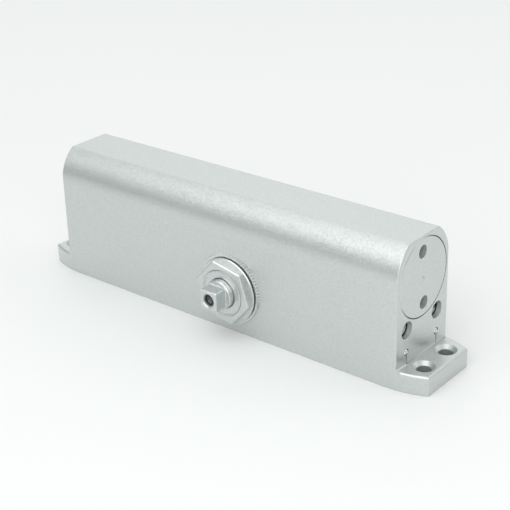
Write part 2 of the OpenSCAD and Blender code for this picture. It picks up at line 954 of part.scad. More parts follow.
// What milling takes off the underside: a flat and the gaps between the rack teeth
module rack_cut() {
    gaps = round((rack_x1 - rack_x0) / pitch) - 1;
    translate([0, bore_r, 0])
        rotate([90, 0, 0])
            linear_extrude(bore_d) {
                translate([rack_x0 + rack_inset, 0])
                    square([rack_x1 - rack_x0 - 2 * rack_inset, rack_tip_z]);
                for (k = [-1:gaps - 2]) {
                    translate([pinion_x + k * pitch, 0])
                        rack_gap();
                }
            }
}

function oil_groove(start) = [
    [piston_r, start],
    [groove_r, start],
    [groove_r, start + groove_w],
    [piston_r, start + groove_w]];

module piston_turning() {
    waist_end = rack_x1 - piston_x0;
    nose_end = piston_x1 - piston_x0;
    web_end = web_x - piston_x0;
    along_x(piston_x0, 0, bore_z)
        rotate_extrude()
            polygon(concat(
                [[0, recess_depth], [recess_r, recess_depth], [recess_r, 0]],
                [[piston_r - piston_edge, 0], [piston_r, piston_edge]],
                oil_groove(piston_land),
                oil_groove(piston_land + groove_pitch),
                [[piston_r, left_head_len], [waist_r, left_head_len]],
                [[waist_r, waist_end], [piston_r, waist_end]],
                oil_groove(waist_end + piston_land),
                [[piston_r, nose_end - nose_len], [nose_r, nose_end - nose_len]],
                [[nose_r, nose_end], [skirt_r, nose_end]],
                [[skirt_r, web_end], [0, web_end]]));
}

module piston() {
    color("lightslategray")
    difference() {
        piston_turning();
        rack_cut();
        along_x(piston_x0, 0, bore_z)
            cylinder(r = passage_r, h = web_x - piston_x0 + cut);
        along_x(ball_seat_x, 0, bore_z)
            cylinder(r = ball_room_r, h = web_x - ball_seat_x + cut);
        along_x(cage_x, 0, bore_z)
            cylinder(r = cage_r + fit, h = cage_len + cut);
        // Cross drilling that joins the passage to the pinion chamber
        translate([(rack_x0 + rack_x1) / 2, bore_r, bore_z])
            rotate([90, 0, 0])
                cylinder(r = cross_drill_r, h = bore_d);
    }
}

// Hollow screw that holds the check ball and its spring
module valve_cage() {
    color("goldenrod")
    difference() {
        along_x(cage_x + fit, 0, bore_z)
            cylinder(r = cage_r, h = cage_len - fit);
        along_x(cage_x - cut, 0, bore_z)
            cylinder(r = cage_pocket_r, h = cage_len + cut - cage_floor_t);
        along_x(cage_x - cut, 0, bore_z)
            cylinder(r = cage_hole_r, h = cage_len + 3 * cut);
        translate([web_x - 0.4, -cage_r - cut, bore_z - 0.5])
            cube([cut, 2 * cage_r + 2 * cut, 1]);
    }
}

module check_ball() {
    color("gainsboro")
    translate([ball_x, 0, bore_z])
        sphere(r = ball_r);
}

module check_spring() {
    room = web_x - cage_floor_t - face_gap - check_coil_x;
    color("dimgray")
    translate([check_coil_x, 0, bore_z])
        coil(3, room - check_wire_d / 2, check_wire_d, check_mean_r, 1, 12, 6, "check_spring");
}

// Springs and the power screw

module main_spring_outer() {
    color("slategray")
    translate([0, 0, bore_z])
        ground_coil(spring_x0, spring_x1 - spring_x0, outer_turns, outer_wire_d, outer_mean_r,
            1, 16, 8, "main_spring_outer");
}

module main_spring_inner() {
    color("slategray")
    translate([0, 0, bore_z])
        ground_coil(spring_x0, spring_x1 - spring_x0, inner_turns, inner_wire_d, inner_mean_r,
            -1, 14, 6, "main_spring_inner");
}

module spring_seat() {
    color("darkgray")
    difference() {
        union() {
            along_x(seat_x, 0, bore_z)
                cylinder(r = seat_r, h = seat_t);
            along_x(seat_x, 0, bore_z)
                cylinder(r = seat_boss_r, h = seat_t + seat_boss_len);
        }
        along_x(seat_x - cut, 0, bore_z)
            cylinder(r = power_r + fit, h = seat_t + seat_boss_len + 2 * cut);
        // Oil holes through the seat
        for (a = [0:90:270]) {
            translate([0, 0, bore_z])
                rotate([a + 45, 0, 0])
                    along_x(seat_x - cut, 0, (seat_boss_r + seat_r) / 2)
                        cylinder(r = seat_oil_r, h = seat_t + 2 * cut);
        }
    }
}

module power_screw() {
    flange_x = -plug_in - power_flange_t;
    color("silver")
    difference() {
        union() {
            along_x(power_outer_x, 0, bore_z)
                cylinder(r = power_r, h = power_reach - plug_in - power_outer_x);
            along_x(flange_x, 0, bore_z)
                cylinder(r = power_flange_r, h = power_flange_t);
        }
        along_x(power_outer_x - cut, 0, bore_z)
            rotate([0, 0, 30])
                cylinder(r = socket_af / 2 / cos(30), h = socket_depth + cut, $fn = 6);
        along_x(power_groove_x, 0, bore_z)
            tube(power_r + cut, power_groove_r, power_groove_w);
    }
}

module power_ring() {
    color("dimgray")
    along_x(power_groove_x + ring_side, 0, bore_z)
        squeezed_ring(power_groove_r + ring_skin, power_r + fit - ring_skin, power_groove_w - 2 * ring_side);
}

// Regulating valves

module valve(side, slot_turn) {
    head_x = end_x - valve_sunk;
    body_x = thread_x + valve_thread_clear;
    difference() {
        union() {
            along_x(body_x, side * valve_y, valve_z)
                cylinder(r = valve_r, h = head_x - body_x - valve_edge);
            along_x(head_x - valve_edge, side * valve_y, valve_z)
                cylinder(r1 = valve_r, r2 = valve_r - valve_edge, h = valve_edge);
            along_x(land_x, side * valve_y, valve_z)
                cylinder(r = land_r, h = land_len);
            along_x(needle_x, side * valve_y, valve_z)
                cylinder(r = needle_stem_r, h = land_x - needle_x);
            along_x(needle_x - needle_nose_len, side * valve_y, valve_z)
                cylinder(r1 = needle_tip_r, r2 = needle_stem_r - needle_step, h = needle_nose_len);
        }
        along_x(valve_groove_x, side * valve_y, valve_z)
            tube(stem_bore_r + cut, valve_groove_r, valve_groove_w);
        translate([head_x, side * valve_y, valve_z])
            rotate([slot_turn, 0, 0])
                cube([2 * slot_depth, slot_w, 2 * valve_d], center = true);
    }
}

module valve_ring(side) {
    along_x(valve_groove_x + ring_side, side * valve_y, valve_z)
        squeezed_ring(valve_groove_r + ring_skin, stem_bore_r - ring_skin, valve_groove_w - 2 * ring_side);
}

module closing_valve() {
    color("silver")
    valve(-1, closing_slot_turn);
}

module latch_valve() {
    color("silver")
    valve(1, latch_slot_turn);
}

module closing_valve_ring() {
    color("dimgray")
    valve_ring(-1);
}

module latch_valve_ring() {
    color("dimgray")
    valve_ring(1);
}

// Balls that close the galleries in the end face and the drops in the mounting face
module gallery_balls() {
    color("gainsboro")
    for (side = [-1, 1]) {
        translate([end_x + ball_proud - plug_ball_r, side * valve_y, gallery_z])
            sphere(r = plug_ball_r);
        translate([drop_x, side * valve_y, plug_ball_r + ball_up])
            sphere(r = plug_ball_r);
    }
}

housing();
end_plug_right();
end_plug_left();
plug_ring_right();
plug_ring_left();
gland_nut_front();
gland_nut_rear();
gland_washer_front();
gland_washer_rear();
gland_ring_front();
gland_ring_rear();
seal_bush_front();
seal_bush_rear();
shaft_seal_front();
shaft_seal_rear();
bearing_shell_front();
bearing_shell_rear();
needles_front();
needles_rear();
thrust_washer_front();
thrust_washer_rear();
pinion_shaft();
piston();
valve_cage();
check_ball();
check_spring();
main_spring_outer();
main_spring_inner();
spring_seat();
power_screw();
power_ring();
closing_valve();
latch_valve();
closing_valve_ring();
latch_valve_ring();
gallery_balls();
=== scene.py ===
# %% [markdown]
# # A hydraulic door closer
# The closer stands on its mounting face in a white studio. The frame holds every piece at its real
# size and place. This lesson dresses the pieces that show: it models them again with rounded edges,
# seams, slots and serrations, and gives every piece a finish made of shader nodes.

# %% Load the frame
import json
import math

import bmesh
import bpy
from mathutils import Matrix, Vector

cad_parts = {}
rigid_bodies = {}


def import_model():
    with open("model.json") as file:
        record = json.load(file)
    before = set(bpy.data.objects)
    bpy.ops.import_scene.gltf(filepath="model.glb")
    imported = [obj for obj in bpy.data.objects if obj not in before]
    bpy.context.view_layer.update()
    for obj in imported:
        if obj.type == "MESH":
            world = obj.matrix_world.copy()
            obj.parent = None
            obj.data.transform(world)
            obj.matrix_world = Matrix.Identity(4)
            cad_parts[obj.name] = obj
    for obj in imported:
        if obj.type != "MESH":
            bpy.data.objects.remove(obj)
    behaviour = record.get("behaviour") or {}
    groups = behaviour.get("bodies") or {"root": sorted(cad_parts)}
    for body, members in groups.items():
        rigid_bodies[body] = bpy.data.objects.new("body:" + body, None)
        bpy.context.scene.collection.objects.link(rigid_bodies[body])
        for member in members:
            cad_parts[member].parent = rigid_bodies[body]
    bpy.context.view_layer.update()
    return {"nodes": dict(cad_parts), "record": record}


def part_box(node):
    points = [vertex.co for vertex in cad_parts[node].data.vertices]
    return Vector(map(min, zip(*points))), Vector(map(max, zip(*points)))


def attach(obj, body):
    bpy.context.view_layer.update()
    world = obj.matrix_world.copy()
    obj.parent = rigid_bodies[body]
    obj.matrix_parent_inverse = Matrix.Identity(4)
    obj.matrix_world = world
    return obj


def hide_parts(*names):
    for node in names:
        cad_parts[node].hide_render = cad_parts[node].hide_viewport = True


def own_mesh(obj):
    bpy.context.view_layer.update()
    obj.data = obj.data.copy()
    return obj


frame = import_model()

# %% [markdown]
# Everything is placed from the frame, so the modelled pieces land where the construction says.
# The boxes of a few nodes give the main sizes: the body, the cylinder axis, the pinion axis and
# the depths of the pieces that stack up outside the body.

# %% Sizes read from the frame
MM = 0.001


def box_of(node):
    low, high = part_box(node)
    return low, high, (low + high) / 2


_, body_high, _ = box_of("housing")
plug_low, plug_high, plug_mid = box_of("end_plug_right")
_, nut_high, nut_mid = box_of("gland_nut_rear")
washer_low, washer_high, _ = box_of("gland_washer_rear")
bush_low, bush_high, _ = box_of("seal_bush_rear")
_, shaft_high, _ = box_of("pinion_shaft")
valve_low, valve_high, valve_mid = box_of("latch_valve")

TIP_X = body_high.x
SIDE_Y = body_high.y
TOP_Z = body_high.z
END_X = plug_high.x
CYLINDER_Z = plug_mid.z
PLUG_R = (plug_high.z - plug_low.z) / 2
PINION_X = nut_mid.x
PINION_Z = nut_mid.z
VALVE_Y = valve_mid.y
VALVE_Z = valve_mid.z
print("body:", round(2 * TIP_X, 4), round(2 * SIDE_Y, 4), round(TOP_Z, 4))
print("pinion axis at", round(PINION_X, 4), round(PINION_Z, 4))

# %% [markdown]
# The camera stands where the photograph was taken from: to the right of the front side and above
# it, turned a little about its own axis. A long lens keeps the body's edges nearly parallel. The
# other way would be a Track To constraint, but then the small roll could not be set.

# %% Camera
CAMERA_AIM = Vector((8.3, 0, 32.9)) * MM
CAMERA_DISTANCE = 630.2 * MM
CAMERA_AZIMUTH = math.radians(40.0)
CAMERA_ELEVATION = math.radians(25.3)
CAMERA_ROLL = math.radians(-1.74)
CAMERA_LENS = 88.2
CAMERA_SENSOR = 36
CAMERA_CLIP = 0.01

flat = math.cos(CAMERA_ELEVATION)
back = Vector((math.sin(CAMERA_AZIMUTH) * flat, -math.cos(CAMERA_AZIMUTH) * flat, math.sin(CAMERA_ELEVATION)))
upright = back.to_track_quat("Z", "Y").to_matrix()
camera_data = bpy.data.cameras.new("camera")
camera_data.lens = CAMERA_LENS
camera_data.sensor_width = CAMERA_SENSOR
camera_data.clip_start = CAMERA_CLIP
camera = bpy.data.objects.new("camera", camera_data)
turned = upright @ Matrix.Rotation(CAMERA_ROLL, 3, "Z")
camera.matrix_world = Matrix.Translation(CAMERA_AIM + back * CAMERA_DISTANCE) @ turned.to_4x4()
bpy.context.scene.collection.objects.link(camera)
bpy.context.scene.camera = camera
print("camera at", [round(v, 3) for v in camera.matrix_world.translation])

# %% [markdown]
# Materials first, because each piece takes one as it is made. A material is a tree of nodes. Each
# helper below adds a node or a few, joined to what it is given, and hands the output on.

# %% Node helpers
def shader(name):
    """A new material, its tree, its Principled shader and the object's own coordinates."""
    material = bpy.data.materials.new(name)
    material.use_nodes = True
    tree = material.node_tree
    place = tree.nodes.new("ShaderNodeTexCoord").outputs["Object"]
    return material, tree, tree.nodes["Principled BSDF"], place


def add_node(tree, kind, inputs, **settings):
    """Add a node and return its outputs. An input that is a socket is linked, any other is set."""
    node = tree.nodes.new(kind)
    for name, value in settings.items():
        setattr(node, name, value)
    for name, value in inputs.items():
        if isinstance(value, bpy.types.NodeSocket):
            tree.links.new(value, node.inputs[name])
        else:
            node.inputs[name].default_value = value
    return node.outputs


def math_node(tree, operation, *values):
    return add_node(tree, "ShaderNodeMath", dict(enumerate(values)), operation=operation)["Value"]


def vector_node(tree, operation, *values):
    return add_node(tree, "ShaderNodeVectorMath", dict(enumerate(values)), operation=operation)


def noise(tree, place, scale, detail):
    inputs = {"Vector": place, "Scale": scale, "Detail": detail}
    return add_node(tree, "ShaderNodeTexNoise", inputs)["Fac"]


def cells(tree, place, scale):
    """A random colour for each small cell, and a 0 to 1 value of it."""
    colour = add_node(tree, "ShaderNodeTexVoronoi", {"Vector": place, "Scale": scale})["Color"]
    return colour, add_node(tree, "ShaderNodeSeparateColor", {"Color": colour})["Red"]


def spread(tree, value, low, high, full=1.0):
    """Map a 0 to 1 pattern onto a range, whose high end is reached at full."""
    inputs = {"Value": value, "From Max": full, "To Min": low, "To Max": high}
    return add_node(tree, "ShaderNodeMapRange", inputs)["Result"]


def mixed(tree, value, a, b):
    return add_node(tree, "ShaderNodeMix", {"Factor": value, "A": a, "B": b}, data_type="RGBA")["Result"]


def tinted(tree, value, dark, light):
    """A colour between two shades, picked by a 0 to 1 pattern."""
    return mixed(tree, value, (*dark, 1), (*light, 1))


def leaning(tree, directions, amount):
    """The surface normal, leaning a little another way in each cell."""
    straight = tree.nodes.new("ShaderNodeNewGeometry").outputs["Normal"]
    centred = vector_node(tree, "ADD", straight, [-amount / 2] * 3)["Vector"]
    lean = vector_node(tree, "MULTIPLY_ADD", directions, [amount] * 3, centred)["Vector"]
    return vector_node(tree, "NORMALIZE", lean)["Vector"]


def bump(tree, principled, height, strength, distance, normal=None):
    inputs = {"Height": height, "Strength": strength, "Distance": distance}
    if normal:
        inputs["Normal"] = normal
    tree.links.new(add_node(tree, "ShaderNodeBump", inputs)["Normal"], principled.inputs["Normal"])


# %% [markdown]
# The closer is sprayed silver: fine aluminium flakes in a clear binder. A flat grey would look like
# plastic, so the flakes are cells that differ in brightness, under a thin clear coat, and each one
# leans its normal a little, which makes the paint sparkle. Spray only dusts the mouth of a hole and
# doesn't reach its depth, and the holes also carry painted shade. So a piece may carry an attribute,
# with a value for each face: 0 in the open, DUST_AT where the paint is a dull dust, and 1 deep inside,
# where the colour is darkened to near black as bare metal and painted shade. The washer is zinc
# plated, so it is brighter and smoother.

# %% Silver paint
BARE_AND_SHADE = "recess"
# Near black, for bare metal deep in a hole and for the painted shade there.
BARE_AND_SHADE_COLOUR = (0.035, 0.037, 0.036)
DUST_AT = 0.2
DUST_METALLIC = 0.15
PAINT_METALLIC = 0.88
FLAKE_DENSITY = 2900
FLAKE_SHADES = (0.68, 1.0)
FLAKE_LEAN = 0.12
CLOUD_DENSITY = 35
CLOUD_SHADES = (0.97, 1.02)
PEEL_DENSITY = 900
PEEL_STRENGTH = 0.06
GRAIN_HEIGHT = 0.02 * MM
COAT_WEIGHT = 0.35
COAT_ROUGHNESS = 0.1
DARK_SILVER = (0.38, 0.40, 0.39)


def bare_and_shaded(tree, principled, colour):
    """Darken the paint in holes, dusty and then near black: bare metal where the spray did not reach, and
    painted shade.
    """
    depth = add_node(tree, "ShaderNodeAttribute", {}, attribute_name=BARE_AND_SHADE)["Fac"]
    tree.links.new(mixed(tree, depth, colour, (*BARE_AND_SHADE_COLOUR, 1)), principled.inputs["Base Color"])
    metallic = spread(tree, depth, PAINT_METALLIC, DUST_METALLIC, DUST_AT)
    tree.links.new(metallic, principled.inputs["Metallic"])


def silver_paint(name, dark, light, rough):
    """Flakes, a slow cloud of thicker paint, orange peel and a clear coat."""
    material, tree, principled, place = shader(name)
    leans, flakes = cells(tree, place, FLAKE_DENSITY)
    cloud = noise(tree, place, CLOUD_DENSITY, 4)
    thickness = spread(tree, cloud, *CLOUD_SHADES)
    grain = math_node(tree, "MULTIPLY", spread(tree, flakes, *FLAKE_SHADES), thickness)
    bare_and_shaded(tree, principled, tinted(tree, grain, dark, light))
    tree.links.new(spread(tree, cloud, *rough), principled.inputs["Roughness"])
    peel = math_node(tree, "MULTIPLY", flakes, noise(tree, place, PEEL_DENSITY, 2))
    bump(tree, principled, peel, PEEL_STRENGTH, GRAIN_HEIGHT, leaning(tree, leans, FLAKE_LEAN))
    principled.inputs["Coat Weight"].default_value = COAT_WEIGHT
    principled.inputs["Coat Roughness"].default_value = COAT_ROUGHNESS
    return material


body_paint = silver_paint("body_paint", DARK_SILVER, (0.65, 0.683, 0.667), (0.385, 0.405))
nut_paint = silver_paint("nut_paint", DARK_SILVER, (0.65, 0.685, 0.67), (0.26, 0.31))
shaft_paint = silver_paint("shaft_paint", (0.38, 0.40, 0.40), (0.65, 0.685, 0.68), (0.24, 0.30))
washer_zinc = silver_paint("washer_zinc", (0.42, 0.44, 0.44), (0.71, 0.745, 0.735), (0.20, 0.26))
print("paints:", body_paint.name, nut_paint.name, shaft_paint.name, washer_zinc.name)

# %% [markdown]
# The pieces inside aren't painted. Ground and turned steel carry fine rings or lines left by the
# tool, oil-tempered spring wire is nearly black, bronze is warm and rubber is matt. A Mapping node
# stretches each metal's pattern along the tool's way.

# %% Bare metal and rubber
TOOL_MARK = 0.01 * MM
POLISH_MARK = 0.002 * MM
MARK_SHADES = (0.5, 1.0)
STAIN_DENSITY = 60
STAIN_SHADES = (0.7, 1.2)
BLOOM_DENSITY = 120
RUBBER_GRAIN = 2500
RUBBER_ROUGH = (0.55, 0.8)


def tooled(name, dark, light, rough, lines, depth=TOOL_MARK):
    """Bare metal with fine tool lines. lines gives the pattern's density along X, Y and Z."""
    material, tree, principled, place = shader(name)
    stretched = add_node(tree, "ShaderNodeMapping", {"Vector": place, "Scale": lines})["Vector"]
    marks = noise(tree, stretched, 1, 3)
    stain = spread(tree, noise(tree, place, STAIN_DENSITY, 4), *STAIN_SHADES)
    shade = math_node(tree, "MULTIPLY", spread(tree, marks, *MARK_SHADES), stain)
    tree.links.new(tinted(tree, shade, dark, light), principled.inputs["Base Color"])
    tree.links.new(spread(tree, marks, *rough), principled.inputs["Roughness"])
    bump(tree, principled, marks, 0.3, depth)
    principled.inputs["Metallic"].default_value = 1
    return material


def rubber(name, dark, light):
    """Moulded nitrile rubber: nearly black, with a faint bloom and a fine grain."""
    material, tree, principled, place = shader(name)
    bloom = noise(tree, place, BLOOM_DENSITY, 4)
    tree.links.new(tinted(tree, bloom, dark, light), principled.inputs["Base Color"])
    tree.links.new(spread(tree, bloom, *RUBBER_ROUGH), principled.inputs["Roughness"])
    bump(tree, principled, noise(tree, place, RUBBER_GRAIN, 2), 0.2, GRAIN_HEIGHT)
    return material


ground_steel = tooled("ground_steel", (0.40, 0.41, 0.42), (0.66, 0.67, 0.68), (0.16, 0.3), (9000, 300, 9000))
turned_steel = tooled("turned_steel", (0.28, 0.29, 0.30), (0.52, 0.53, 0.54), (0.26, 0.42), (7000, 300, 300))
spring_steel = tooled("spring_steel", (0.05, 0.052, 0.06), (0.14, 0.145, 0.16), (0.3, 0.48),
                      (600, 4000, 4000))
bronze = tooled("bronze", (0.42, 0.25, 0.09), (0.72, 0.48, 0.2), (0.25, 0.42), (300, 6000, 300))
bright_steel = tooled("bright_steel", (0.62, 0.63, 0.64), (0.86, 0.87, 0.88), (0.08, 0.16), (900, 900, 900),
                      POLISH_MARK)
black_rubber = rubber("black_rubber", (0.012, 0.012, 0.013), (0.035, 0.035, 0.037))
print("materials:", len(bpy.data.materials))

# %% [markdown]
# A few helpers shape almost everything. lathe spins a profile about Z, which is how the real plugs,
# nuts and valves are turned. bar and prism start the other shapes, and rounded bevels chosen edges.
# placed turns a solid that was drawn along Z to face its side, turn_to does the same with an object,
# and combine drills one solid out of another or welds it on.

# %% Shaping helpers
SMOOTH_ANGLE = math.radians(34)
TO_RIGHT = Matrix(((0, 0, 1, 0), (1, 0, 0, 0), (0, 1, 0, 0), (0, 0, 0, 1)))
TO_LEFT = Matrix(((0, 0, -1, 0), (1, 0, 0, 0), (0, 1, 0, 0), (0, 0, 0, 1)))
TO_FRONT = Matrix(((1, 0, 0, 0), (0, 0, -1, 0), (0, 1, 0, 0), (0, 0, 0, 1)))
TO_REAR = Matrix(((1, 0, 0, 0), (0, 0, 1, 0), (0, 1, 0, 0), (0, 0, 0, 1)))
SIDES = (("front", TO_FRONT), ("rear", TO_REAR))


def at(x, y, z, facing=Matrix.Identity(4)):
    """Start a solid drawn along Z at a point and face it the given way."""
    return Matrix.Translation((x, y, z)) @ facing


def clean(bm):
    bmesh.ops.remove_doubles(bm, verts=bm.verts, dist=1e-7)
    bmesh.ops.dissolve_degenerate(bm, dist=1e-8, edges=bm.edges)
    bmesh.ops.recalc_face_normals(bm, faces=bm.faces)
    return bm


def lathe(profile, ring=False, steps=96):
    """Spin (radius, height) points about Z. A ring closes on itself, and any other profile on the axis."""
    if not ring:
        start = [(0, profile[0][1])] if profile[0][0] else []
        profile = start + profile + [(0, profile[-1][1])]
    bm = bmesh.new()
    verts = [bm.verts.new((r, 0, h)) for r, h in profile]
    edges = [bm.edges.new(pair) for pair in zip(verts, verts[1:])]
    if ring:
        edges.append(bm.edges.new((verts[-1], verts[0])))
    bmesh.ops.spin(bm, geom=verts + edges, cent=(0, 0, 0), axis=(0, 0, 1),
                   angle=2 * math.pi, steps=steps, use_merge=True)
    return clean(bm)


def rounded(bm, edges, width, segments=3):
    bmesh.ops.bevel(bm, geom=edges, offset=width, offset_type="OFFSET", affect="EDGES",
                    segments=segments, profile=0.5, material=-1, clamp_overlap=True)
    return bm


def bar(width, depth, height):
    """A box on the XY plane, centred, rising along Z."""
    bm = bmesh.new()
    bmesh.ops.create_cube(bm, size=1)
    bmesh.ops.scale(bm, vec=(width, depth, height), verts=bm.verts)
    bmesh.ops.translate(bm, vec=(0, 0, height / 2), verts=bm.verts)
    return bm


def polar(radius, angle):
    return radius * math.cos(angle), radius * math.sin(angle)


def prism(points, height):
    """Extrude a flat outline in XY along Z."""
    bm = bmesh.new()
    face = bm.faces.new([bm.verts.new((x, y, 0)) for x, y in points])
    grown = bmesh.ops.extrude_face_region(bm, geom=[face])
    tops = [v for v in grown["geom"] if isinstance(v, bmesh.types.BMVert)]
    bmesh.ops.translate(bm, vec=(0, 0, height), verts=tops)
    return clean(bm)


def placed(bm, matrix):
    bmesh.ops.transform(bm, matrix=matrix, verts=bm.verts)
    bmesh.ops.recalc_face_normals(bm, faces=bm.faces)
    return bm


def turn_to(obj, matrix):
    """Turn an object's mesh to its place, with its faces outwards also when it is mirrored."""
    obj.data.transform(matrix)
    if matrix.determinant() < 0:
        obj.data.flip_normals()


def raw_object(name, bm):
    mesh = bpy.data.meshes.new(name)
    bm.to_mesh(mesh)
    bm.free()
    obj = bpy.data.objects.new(name, mesh)
    bpy.context.scene.collection.objects.link(obj)
    return obj


def combine(obj, others, operation="DIFFERENCE"):
    """Subtract or add solids in turn, and keep the result as the object's mesh."""
    tools = [raw_object("tool", bm) for bm in others]
    for tool in tools:
        step = obj.modifiers.new("combine", "BOOLEAN")
        step.operation = operation
        step.solver = "EXACT"
        step.object = tool
    evaluated = obj.evaluated_get(bpy.context.evaluated_depsgraph_get())
    mesh = bpy.data.meshes.new_from_object(evaluated)
    obj.modifiers.clear()
    obj.data = mesh
    mesh.name = obj.name
    for tool in tools:
        bpy.data.objects.remove(tool)


# %% [markdown]
# A wide flat has to look flat, though the narrow bevels beside it pull the shared normals round. The
# Weighted Normal modifier can let some faces lead, so the wide flats are marked strong for it. Each
# face that lies in a hole is given a value for its bare metal and painted shade, for the paint. Then
# the piece is painted and rides on its body.

# %% Finishing helpers
FLAT_AREA = 30 * MM * MM
LEVEL = 2e-3
STRONG = 16384


def flat_patch(start, left):
    """All faces that lie level with a face and are joined to it."""
    patch = [start]
    for face in patch:
        near = [other for edge in face.edges for other in edge.link_faces]
        for other in near:
            if other in left and other.normal.angle(start.normal, 1) < LEVEL:
                left.remove(other)
                patch.append(other)
    return patch


def flats_lead(mesh):
    """Mark the wide flats, so that their normals rule those of the bevels."""
    bm = bmesh.new()
    bm.from_mesh(mesh)
    strength = bm.faces.layers.int.new("__mod_weightednormals_faceweight")
    left = set(bm.faces)
    for face in bm.faces:
        if face in left:
            left.remove(face)
            patch = flat_patch(face, left)
            if sum(f.calc_area() for f in patch) > FLAT_AREA:
                for level in patch:
                    level[strength] = STRONG
    bm.to_mesh(mesh)
    bm.free()


def mark_recess(mesh, bare_and_shade_at):
    """Keep for each face how dark it is painted in a hole, as bare metal and painted shade, from 0 in the
    open to 1.
    """
    bare_and_shade_values = [bare_and_shade_at(face.center) for face in mesh.polygons]
    mesh.attributes.new(BARE_AND_SHADE, "FLOAT", "FACE").data.foreach_set("value", bare_and_shade_values)


def finished(obj, material, body, stands_for, bare_and_shade_at=None):
    """Shade, paint and hang a piece on its body, in place of its node."""
    mesh = obj.data
    mesh.materials.clear()
    mesh.materials.append(material)
    mesh.shade_smooth()
    mesh.set_sharp_from_angle(angle=SMOOTH_ANGLE)
    flats_lead(mesh)
    if bare_and_shade_at:
        mark_recess(mesh, bare_and_shade_at)
    weighted = obj.modifiers.new("even_normals", "WEIGHTED_NORMAL")
    weighted.keep_sharp = True
    weighted.use_face_influence = True
    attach(obj, body)
    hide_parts(stands_for)
    print(obj.name, "faces:", len(mesh.polygons))


# %% [markdown]
# The body is one thick casting: flat sides, a round back cut flat on top, and a lug left standing at
# each end. It starts as a plate with the plan of the whole body, cut into slices, whose middle is
# then pulled up in steps. At each step the sides are drawn in to the round back. A scaled cube could
# not give the drawn-in ends and the round back together.

# %% Body blank
END_ROUND_R = 50 * MM
END_ROUND_LEN = 21.5 * MM
LUG_T = 10 * MM
TOP_FLAT_HALF = 12.2 * MM
ROUND_X = TIP_X - END_ROUND_LEN
BACK_Z = TOP_Z - math.sqrt(SIDE_Y ** 2 - TOP_FLAT_HALF ** 2)
BACK_STEPS = 14
END_STEPS = 3
LUG_STEPS = 8
LEVEL_FACES = math.radians(0.05)


def plan_half(x):
    """Half width of the plan at x."""
    past = max(abs(x) - ROUND_X, 0)
    return SIDE_Y - END_ROUND_R + math.sqrt(END_ROUND_R ** 2 - past ** 2)


def back_half(z):
    """Half width of the section at height z."""
    return SIDE_Y if z <= BACK_Z else math.sqrt(SIDE_Y ** 2 - (z - BACK_Z) ** 2)


def stations():
    near = [ROUND_X + (END_X - ROUND_X) * i / END_STEPS for i in range(END_STEPS + 1)]
    far = [END_X + (TIP_X - END_X) * i / LUG_STEPS for i in range(1, LUG_STEPS)]
    half = near + far
    return sorted([-x for x in half] + half)


def drawn_in(verts, z):
    """Move a layer's corners onto the plan and the section at that height."""
    for v in verts:
        half = min(plan_half(v.co.x), back_half(z))
        v.co.y = math.copysign(half, v.co.y)
        v.co.z = z


def body_blank():
    bm = bar(2 * TIP_X, 2 * SIDE_Y, LUG_T)
    for x in stations():
        bmesh.ops.bisect_plane(bm, geom=bm.verts[:] + bm.edges[:] + bm.faces[:], dist=1e-7,
                               plane_co=(x, 0, 0), plane_no=(1, 0, 0))
    drawn_in([v for v in bm.verts if v.co.z < LUG_T / 2], 0)
    drawn_in([v for v in bm.verts if v.co.z > LUG_T / 2], LUG_T)
    top = [f for f in bm.faces if f.normal.z > 0.9 and abs(f.calc_center_median().x) < END_X]
    layers = [BACK_Z]
    reach = math.acos(TOP_FLAT_HALF / SIDE_Y)
    layers += [BACK_Z + SIDE_Y * math.sin(reach * i / BACK_STEPS) for i in range(1, BACK_STEPS + 1)]
    for z in layers:
        grown = bmesh.ops.extrude_face_region(bm, geom=top)["geom"]
        bmesh.ops.delete(bm, geom=[f for f in top if f.is_valid], context="FACES_ONLY")
        top = [f for f in grown if isinstance(f, bmesh.types.BMFace)]
        drawn_in([v for v in grown if isinstance(v, bmesh.types.BMVert)], z)
    bmesh.ops.dissolve_limit(bm, angle_limit=LEVEL_FACES, verts=bm.verts, edges=bm.edges)
    bmesh.ops.recalc_face_normals(bm, faces=bm.faces)
    return bm


blank = body_blank()
print("blank closed:", all(e.is_manifold for e in blank.edges), "faces:", len(blank.faces))

# %% [markdown]
# No edge of a cast and painted body is sharp. The lugs have the widest rounding, which the photo
# shows as a bright line; the end faces and the crease beside the flat top are only broken. Each
# group of edges is picked by where it lies and bevelled on its own, the lugs' rim first.

# %% Round the body's edges
LUG_EDGE_R = 1.3 * MM
END_EDGE_R = 0.55 * MM
CREASE_R = 0.9 * MM
CREASE_REACH = 0.7 * MM
BOTTOM_EDGE_R = 0.4 * MM
BENT = 0.3
NEAR = 1e-5


def both(edge, test):
    return all(test(v.co) for v in edge.verts)


def rise_of(edge):
    return abs(edge.verts[0].co.z - edge.verts[1].co.z)


def on_lug_rim(co):
    on_side = abs(abs(co.y) - plan_half(co.x)) < NEAR
    on_tip = abs(abs(co.x) - TIP_X) < NEAR
    return abs(co.z - LUG_T) < NEAR and abs(co.x) > END_X - NEAR and (on_side or on_tip)


def on_crease(co):
    return abs(co.z - TOP_Z) < NEAR and abs(abs(co.y) - TOP_FLAT_HALF) < CREASE_REACH


def outer_edges(bm, test):
    """Edges whose two ends pass the test and whose faces meet at an angle."""
    return [e for e in bm.edges if both(e, test) and len(e.link_faces) == 2 and e.calc_face_angle() > BENT]


